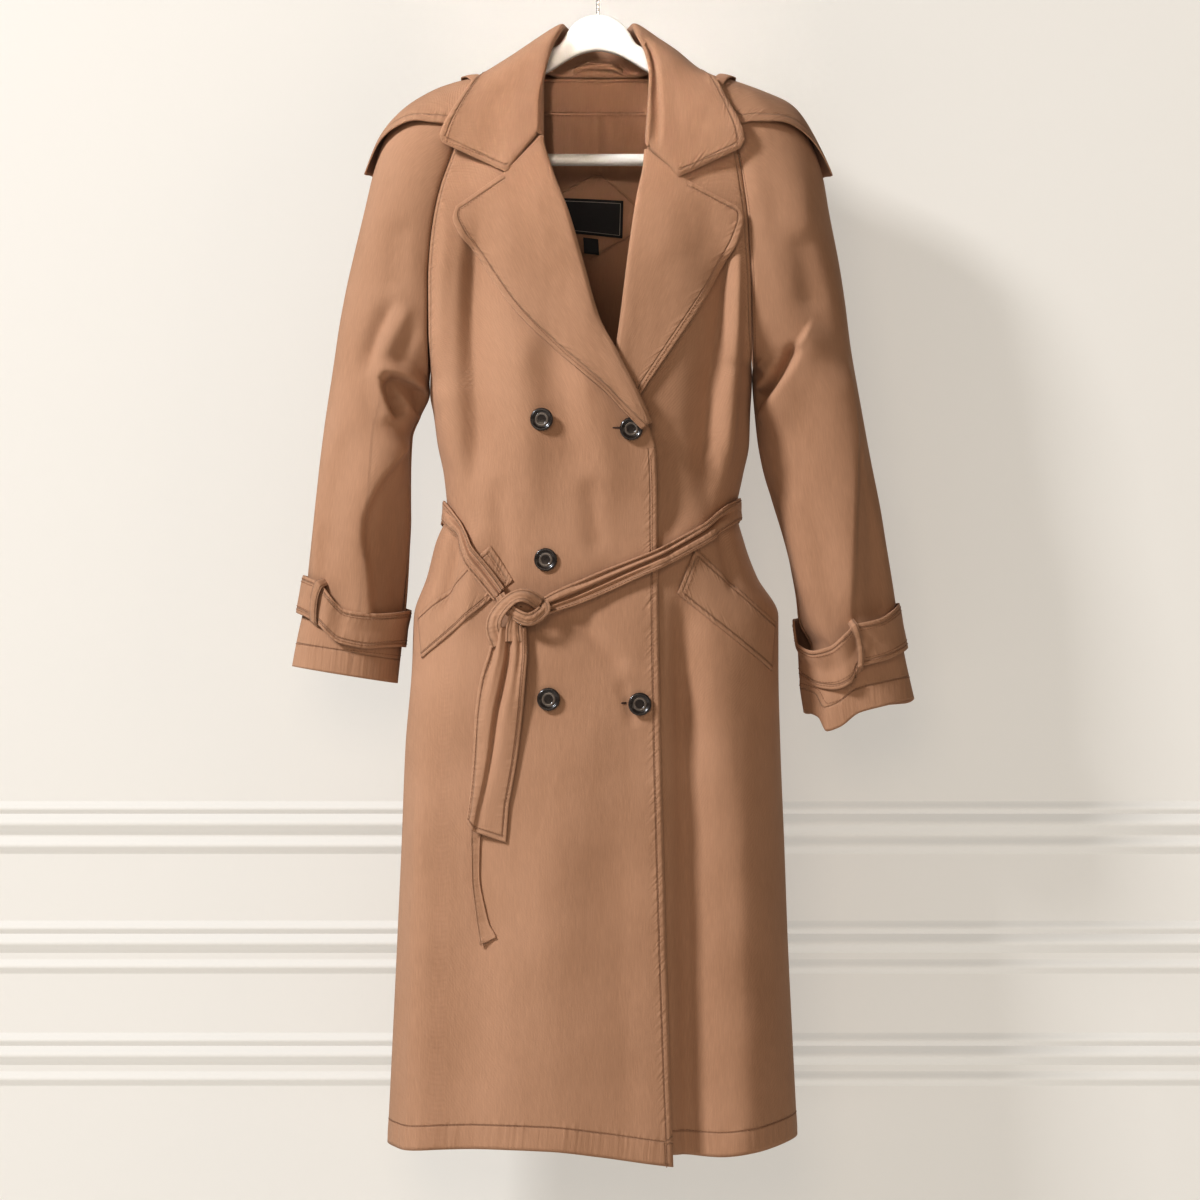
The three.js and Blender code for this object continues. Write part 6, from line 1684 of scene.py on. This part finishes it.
button = {
    "places": [(-58, -507), (34, -517), (-54, -653), (-51, -798), (43, -803)],
    "rim": [
        (4, 0.4), (9.5, 0.6), (11.3, 1.3), (12, 2.5), (11.7, 3.7), (10.7, 4.4), (9.6, 4.2), (8.9, 3.3),
            (8.3, 2.6), (7.2, 2.4),
    ],
    "ring": [(7.3, 1.6), (7.3, 2.5), (6.7, 2.9), (5.6, 2.8), (4.6, 2.3), (4.2, 1.7)],
    "centre": [(4.4, 1.0), (4.4, 1.8), (3.2, 1.6), (2.9, 1.2)],
    "thread": [(2.4, 1.0), (2.1, 1.7), (1.4, 2.2), (0.5, 2.3)],
}


def makeButton(number, x, z):
    seat, out = onFront(x, z, 0.4)
    pieces = [
        lathe(f"button_{number}_rim", button["rim"], seat, out, horn),
        lathe(f"button_{number}_ring", button["ring"], seat, out, hornRingWithReflection),
        lathe(f"button_{number}_centre", button["centre"], seat, out, horn),
        lathe(f"button_{number}_thread", button["thread"], seat, out, darkThreadAndSlitShade, 16),
    ]
    for piece in pieces:
        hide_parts(f"button_{number}")
    return pieces


def makeButtonhole(x, z):  # the slit that shows beside a buttoned button, with its worked edges; the slit is a dark sheet of painted shade
    t = np.linspace(0, 1, 16)[None, :]
    v = np.linspace(-1, 1, 7)[:, None]
    px = x - 19 + 11 * t + 0 * v
    pz = z + 1.0 + v * 0.9 * np.sin(math.pi * mix(0.12, 0.95, t)) + 0 * t
    grid, _ = onFront(px, pz, 0.5 - 0.2 * (1 - v**2), "over")
    return cloth("buttonhole", grid, 0.4, [darkThreadAndSlitShade], 1)


for number, (x, z) in enumerate(button["places"], 1):
    makeButton(number, x, z)
buttonholes = [makeButtonhole(*button["places"][number]) for number in (1, 4)]
print("buttons sewn on")

hanger = {
    "thick": 14,
    "top": [(-6, -75.4), (0, -75), (6, -75.4), (13, -77), (25, -84), (33, -94), (41, -106), (55, -113.5)],
    "ridge": [(56, -110), (87, -126), (118, -143), (150, -152), (178, -164), (203, -180)],
    "under": 2.8,
    "end": (207, -195),
    "low": [(0, -112), (24, -118), (56, -138), (130, -172), (188, -202), (194, -212), (195.6, -236),
        (212, -237)],
    "barHalf": 194.7,
    "barZ": -228.5,
    "barRadius": 6.5,
}


def makeHangerBody():
    top = [*hanger["top"][:-1], *[(x - 1.2, z - hanger["under"]) for x, z in hanger["ridge"]],
        hanger["end"], (213, -236)]
    topX, topZ = zip(*top)
    high = soft(topX, topZ)
    lowX, lowZ = zip(*hanger["low"])
    half = np.sort(np.r_[np.linspace(0, 213, 150), 194.2, 195.4])
    lowAt = eased(lambda x: np.interp(np.abs(x), lowX, lowZ), -213, 213, 9)
    xs = np.r_[-half[::-1][:-1], half]
    angles = np.linspace(0, 2 * math.pi, 33)[:-1]
    rows = []
    for x in xs:
        a, b = float(high(abs(x))), float(lowAt(x) if abs(x) < 150 else np.interp(abs(x), lowX, lowZ))
        tall = max((a - b) / 2, 0.6)
        sx, cz = np.sin(angles), np.cos(angles)
        power = 2 / 5.5
        y = np.sign(sx) * np.abs(sx) ** power * hanger["thick"] / 2
        z = (a + b) / 2 + np.sign(cz) * np.abs(cz) ** (2 / 9) * tall
        rows.append(np.stack([np.full(32, x), y, z], axis=-1))
    return solidTube("hanger_body", np.array(rows), whitePaint)


def solidTube(name, rows, material):  # closed skin through ring after ring
    count = rows.shape[1]
    faces = []
    for i in range(len(rows) - 1):
        for k in range(count):
            a, b = i * count + k, i * count + (k + 1) % count
            faces.append((a, a + count, b + count, b))
    faces.append(tuple(range(count)))
    faces.append(tuple((len(rows) - 1) * count + k for k in range(count))[::-1])
    piece = addMesh(name, rows.reshape(-1, 3), faces, [0] * len(faces), [material])
    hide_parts(name)
    return piece


def sweep(path, radius, sides):
    path = np.array(path, float)
    run = unit(np.gradient(path, axis=0))
    side = unit(np.cross(run, [0, 1.0, 0.001]))
    up = np.cross(side, run)
    angles = np.linspace(0, 2 * math.pi, sides + 1)[:-1]
    return path[:, None] + radius * (side[:, None] * np.cos(angles)[None, :, None] + up[:,
        None] * np.sin(angles)[None, :, None])


makeHangerBody()
ends = np.linspace(-1, 1, 9)
bar = sweep([(hanger["barHalf"] * t, 0, hanger["barZ"]) for t in ends], hanger["barRadius"], 32)
solidTube("hanger_bar", bar, whitePaint)
hook = {"radius": 21.75, "wire": 1.75, "turn": (-50, 205),
    "neck": [(0, -93), (0, -74), (0, -64), (0.4, -56), (4, -48.5)]}
arc = np.radians(np.linspace(*hook["turn"], 18))
hookPath = [(x, 0, z) for x, z in hook["neck"]] + [(hook["radius"] * math.cos(a), 0,
    -20 + hook["radius"] * math.sin(a)) for a in arc]
solidTube("hanger_hook", sweep(throughPoints(hookPath, 150), hook["wire"], 14), wire)
print("hanger made")

stitches = sewStitches("stitch_rows")
print("stitches sewn", len(stitches.data.polygons))

# how each sheet was cut: width and length of the cloth, how it is held,
# what it lies on, its area and what is on it
cuts = [
    (frontRight, (0.42, 1.14), "hung", ["front_left"], 0.31, buttonholes),
    (frontLeft, (0.42, 1.14), "hung", [], 0.28, []),
    (back, (0.50, 1.14), "hung", ["hanger_body"], 0.5, []),
    (sleevePieces["right"], (0.41, 0.73), "hung", ["hanger_body"], 0.22, []),
    (sleevePieces["left"], (0.41, 0.73), "hung", ["hanger_body"], 0.22, []),
    (capePiece, (0.72, 0.24), "draped", ["back", "sleeve_right", "sleeve_left"], 0.115, []),
    (keepers[0], (0.012, 0.075), "laid", ["storm_cape"], None, []),
    (keepers[1], (0.012, 0.075), "laid", ["storm_cape"], None, []),
    (collarPiece, (0.60, 0.17), "folded", ["storm_cape", "back"], 0.06, []),
    (lapelPieces["right"], (0.21, 0.31), "folded", ["front_right"], 0.026, []),
    (lapelPieces["left"], (0.15, 0.29), "folded", ["front_left"], 0.022, []),
    (weltPieces["right"], (0.050, 0.118), "laid", ["front_right"], None, []),
    (weltPieces["left"], (0.055, 0.125), "laid", ["front_left"], None, []),
    (beltWaist, (0.036, 0.395), "laid", ["back"], None, []),
    (beltRight, (0.038, 0.105), "folded", ["front_right"], None, []),
    (beltLeft, (0.042, 0.215), "folded", ["front_right", "front_left"], None, []),
    (knotBands[0], (0.017, 0.105), "folded", ["front_right"], None, [knotCore]),
    (knotBands[1], (0.0145, 0.083), "folded", ["front_right"], None, []),
    (knotBands[2], (0.016, 0.050), "folded", ["front_right"], None, []),
    (tailWide, (0.052, 0.215), "folded", ["front_right"], None, []),
    (tailNarrow, (0.013, 0.147), "hung", ["front_right"], None, []),
    (cuffPieces["right"][0], (0.045, 0.29), "laid", ["sleeve_right"], None, []),
    (cuffPieces["left"][0], (0.058, 0.29), "laid", ["sleeve_left"], None, []),
    (cuffPieces["right"][1], (0.011, 0.075), "laid", ["cuff_strap_right"], None, []),
    (cuffPieces["left"][1], (0.011, 0.075), "laid", ["cuff_strap_left"], None, []),
    (facing, (0.132, 0.042), "laid", ["back"], None, []),
    (patch, (0.10, 0.095), "laid", ["back"], 0.0063, []),
    (label, (0.068, 0.040), "laid", ["label_patch"], None, [border]),
    (tag, (0.017, 0.018), "laid", ["label_patch"], None, []),
    (neckLoop, (0.010, 0.054), "hung", ["back"], 0.0004, []),
]
for piece, flat, held, under, area, extras in cuts:
    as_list(under)
    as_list(extras)
print("sheets declared", len(cuts))


# stage, light and camera
def lamp(name, place, target, size, power, colour):
    light = bpy.data.lights.new(name, "AREA")
    light.shape = "RECTANGLE"
    light.size, light.size_y = size
    light.energy = power
    light.color = colour
    made = bpy.data.objects.new(name, light)
    made.location = place
    made.rotation_euler = (Vector(target) - Vector(place)).to_track_quat("-Z", "Y").to_euler()
    scene.collection.objects.link(made)
    return made


def stagePlane(name, corners, colour, glow, seenFromFront):
    mesh = bpy.data.meshes.new(name)
    mesh.from_pydata(corners, [], [(0, 1, 2, 3)])
    material, tree, shader = newMaterial(name)
    noise = node(tree, "ShaderNodeTexNoise", Scale=1.2, Detail=2.0)
    tree.links.new(node(tree, "ShaderNodeTexCoord").outputs["Object"], noise.inputs["Vector"])
    tree.links.new(mixColour(tree, noise.outputs["Fac"], tuple(c * 0.97 for c in colour), colour),
        shader.inputs["Base Color"])
    shader.inputs["Roughness"].default_value = 0.9
    shader.inputs["Emission Color"].default_value = (0.95, 0.925, 0.87, 1)
    shader.inputs["Emission Strength"].default_value = glow
    if seenFromFront:
        clear = tree.nodes.new("ShaderNodeBsdfTransparent")
        either = tree.nodes.new("ShaderNodeMixShader")
        behind = tree.nodes.new("ShaderNodeNewGeometry")
        tree.links.new(behind.outputs["Backfacing"], either.inputs[0])
        tree.links.new(shader.outputs[0], either.inputs[1])
        tree.links.new(clear.outputs[0], either.inputs[2])
        tree.links.new(either.outputs[0], tree.nodes["Material Output"].inputs[0])
    mesh.materials.append(material)
    made = bpy.data.objects.new(name, mesh)
    scene.collection.objects.link(made)
    return made


studio = {"wallY": 0.135, "floorZ": -1.72, "cameraAway": 5.0, "cameraZ": -0.695, "lens": 141.5}
wallY, floorZ = studio["wallY"], studio["floorZ"]
wall = stagePlane(
    "pale_wall",
    [(-6, wallY, floorZ), (6, wallY, floorZ), (6, wallY, 3), (-6, wallY, 3)],
    (0.36, 0.34, 0.31),
    0.5,
    True,
)
wall.visible_diffuse = False
wall.visible_glossy = False
wall.visible_shadow = False
stagePlane("pale_floor", [(-6, -7, floorZ), (6, -7, floorZ), (6, 6, floorZ), (-6, 6, floorZ)],
    (0.80, 0.76, 0.70), 0, False)

# mouldings of a panelled wall: level, height and how far each stands off it
rails = [(-0.922, 0.010, 0.007), (-0.938, 0.016, 0.014), (-0.962, 0.012, 0.008), (-1.052, 0.010, 0.007),
    (-1.068, 0.014, 0.012),
         (-1.094, 0.010, 0.006), (-1.174, 0.010, 0.007), (-1.190, 0.014, 0.012), (-1.216, 0.010, 0.006)]
for number, (level, tall, stands) in enumerate(rails):
    turn = np.linspace(0, math.pi, 9)
    profile = [(wallY - stands * math.sin(a) ** 2, level + tall * (0.8 - 1.6 * a / math.pi)) for a in turn]
    mesh = bpy.data.meshes.new(f"rail_{number}")
    points = [(x, y, z) for y, z in profile for x in (-3, 3)]
    mesh.from_pydata(points, [], [(2 * k + 2, 2 * k + 3, 2 * k + 1, 2 * k) for k in range(8)])
    mesh.polygons.foreach_set("use_smooth", [True] * 8)
    mesh.materials.append(wall.data.materials[0])
    rail = bpy.data.objects.new(f"rail_{number}", mesh)
    scene.collection.objects.link(rail)
    rail.visible_diffuse = rail.visible_glossy = rail.visible_shadow = False

lamp("key", (-3.5, -2.3, 2.5), (0, 0, -0.62), (0.9, 0.9), 345, (0.95, 0.985, 1.05))
lamp("front_fill", (-0.9, -6.0, 1.4), (0, 0, -0.6), (2.6, 2.6), 88, (1.0, 0.84, 0.68))
lamp("side_fill", (5.6, -3.6, 0.6), (0, 0, -0.7), (3.0, 3.0), 62, (1.0, 0.84, 0.68))
lamp("backlight", (1.2, 3.0, 0.9), (0, 0.05, -0.7), (2.2, 2.2), 46, (1.0, 0.97, 0.93))
neckFill = lamp("neck_fill", (-0.25, -2.6, 0.25), (0, 0.03, -0.13), (0.3, 0.3), 0.11, (1.0, 0.93, 0.86))
neckFill.data.spread = math.radians(6)
world = bpy.data.worlds.new("studio")
world.use_nodes = True
world.node_tree.nodes["Background"].inputs["Color"].default_value = (1.0, 0.97, 0.93, 1)
world.node_tree.nodes["Background"].inputs["Strength"].default_value = 0.09
scene.world = world
scene.view_settings.view_transform = "Standard"
scene.view_settings.gamma = 0.8

camera = bpy.data.objects.new("camera", bpy.data.cameras.new("camera"))
camera.data.sensor_width = 36
camera.data.lens = studio["lens"]
camera.location = (0.002, -studio["cameraAway"], studio["cameraZ"])
camera.rotation_euler = (math.pi / 2, 0, 0)
camera.data.clip_start, camera.data.clip_end = 0.1, 60
scene.collection.objects.link(camera)
scene.camera = camera
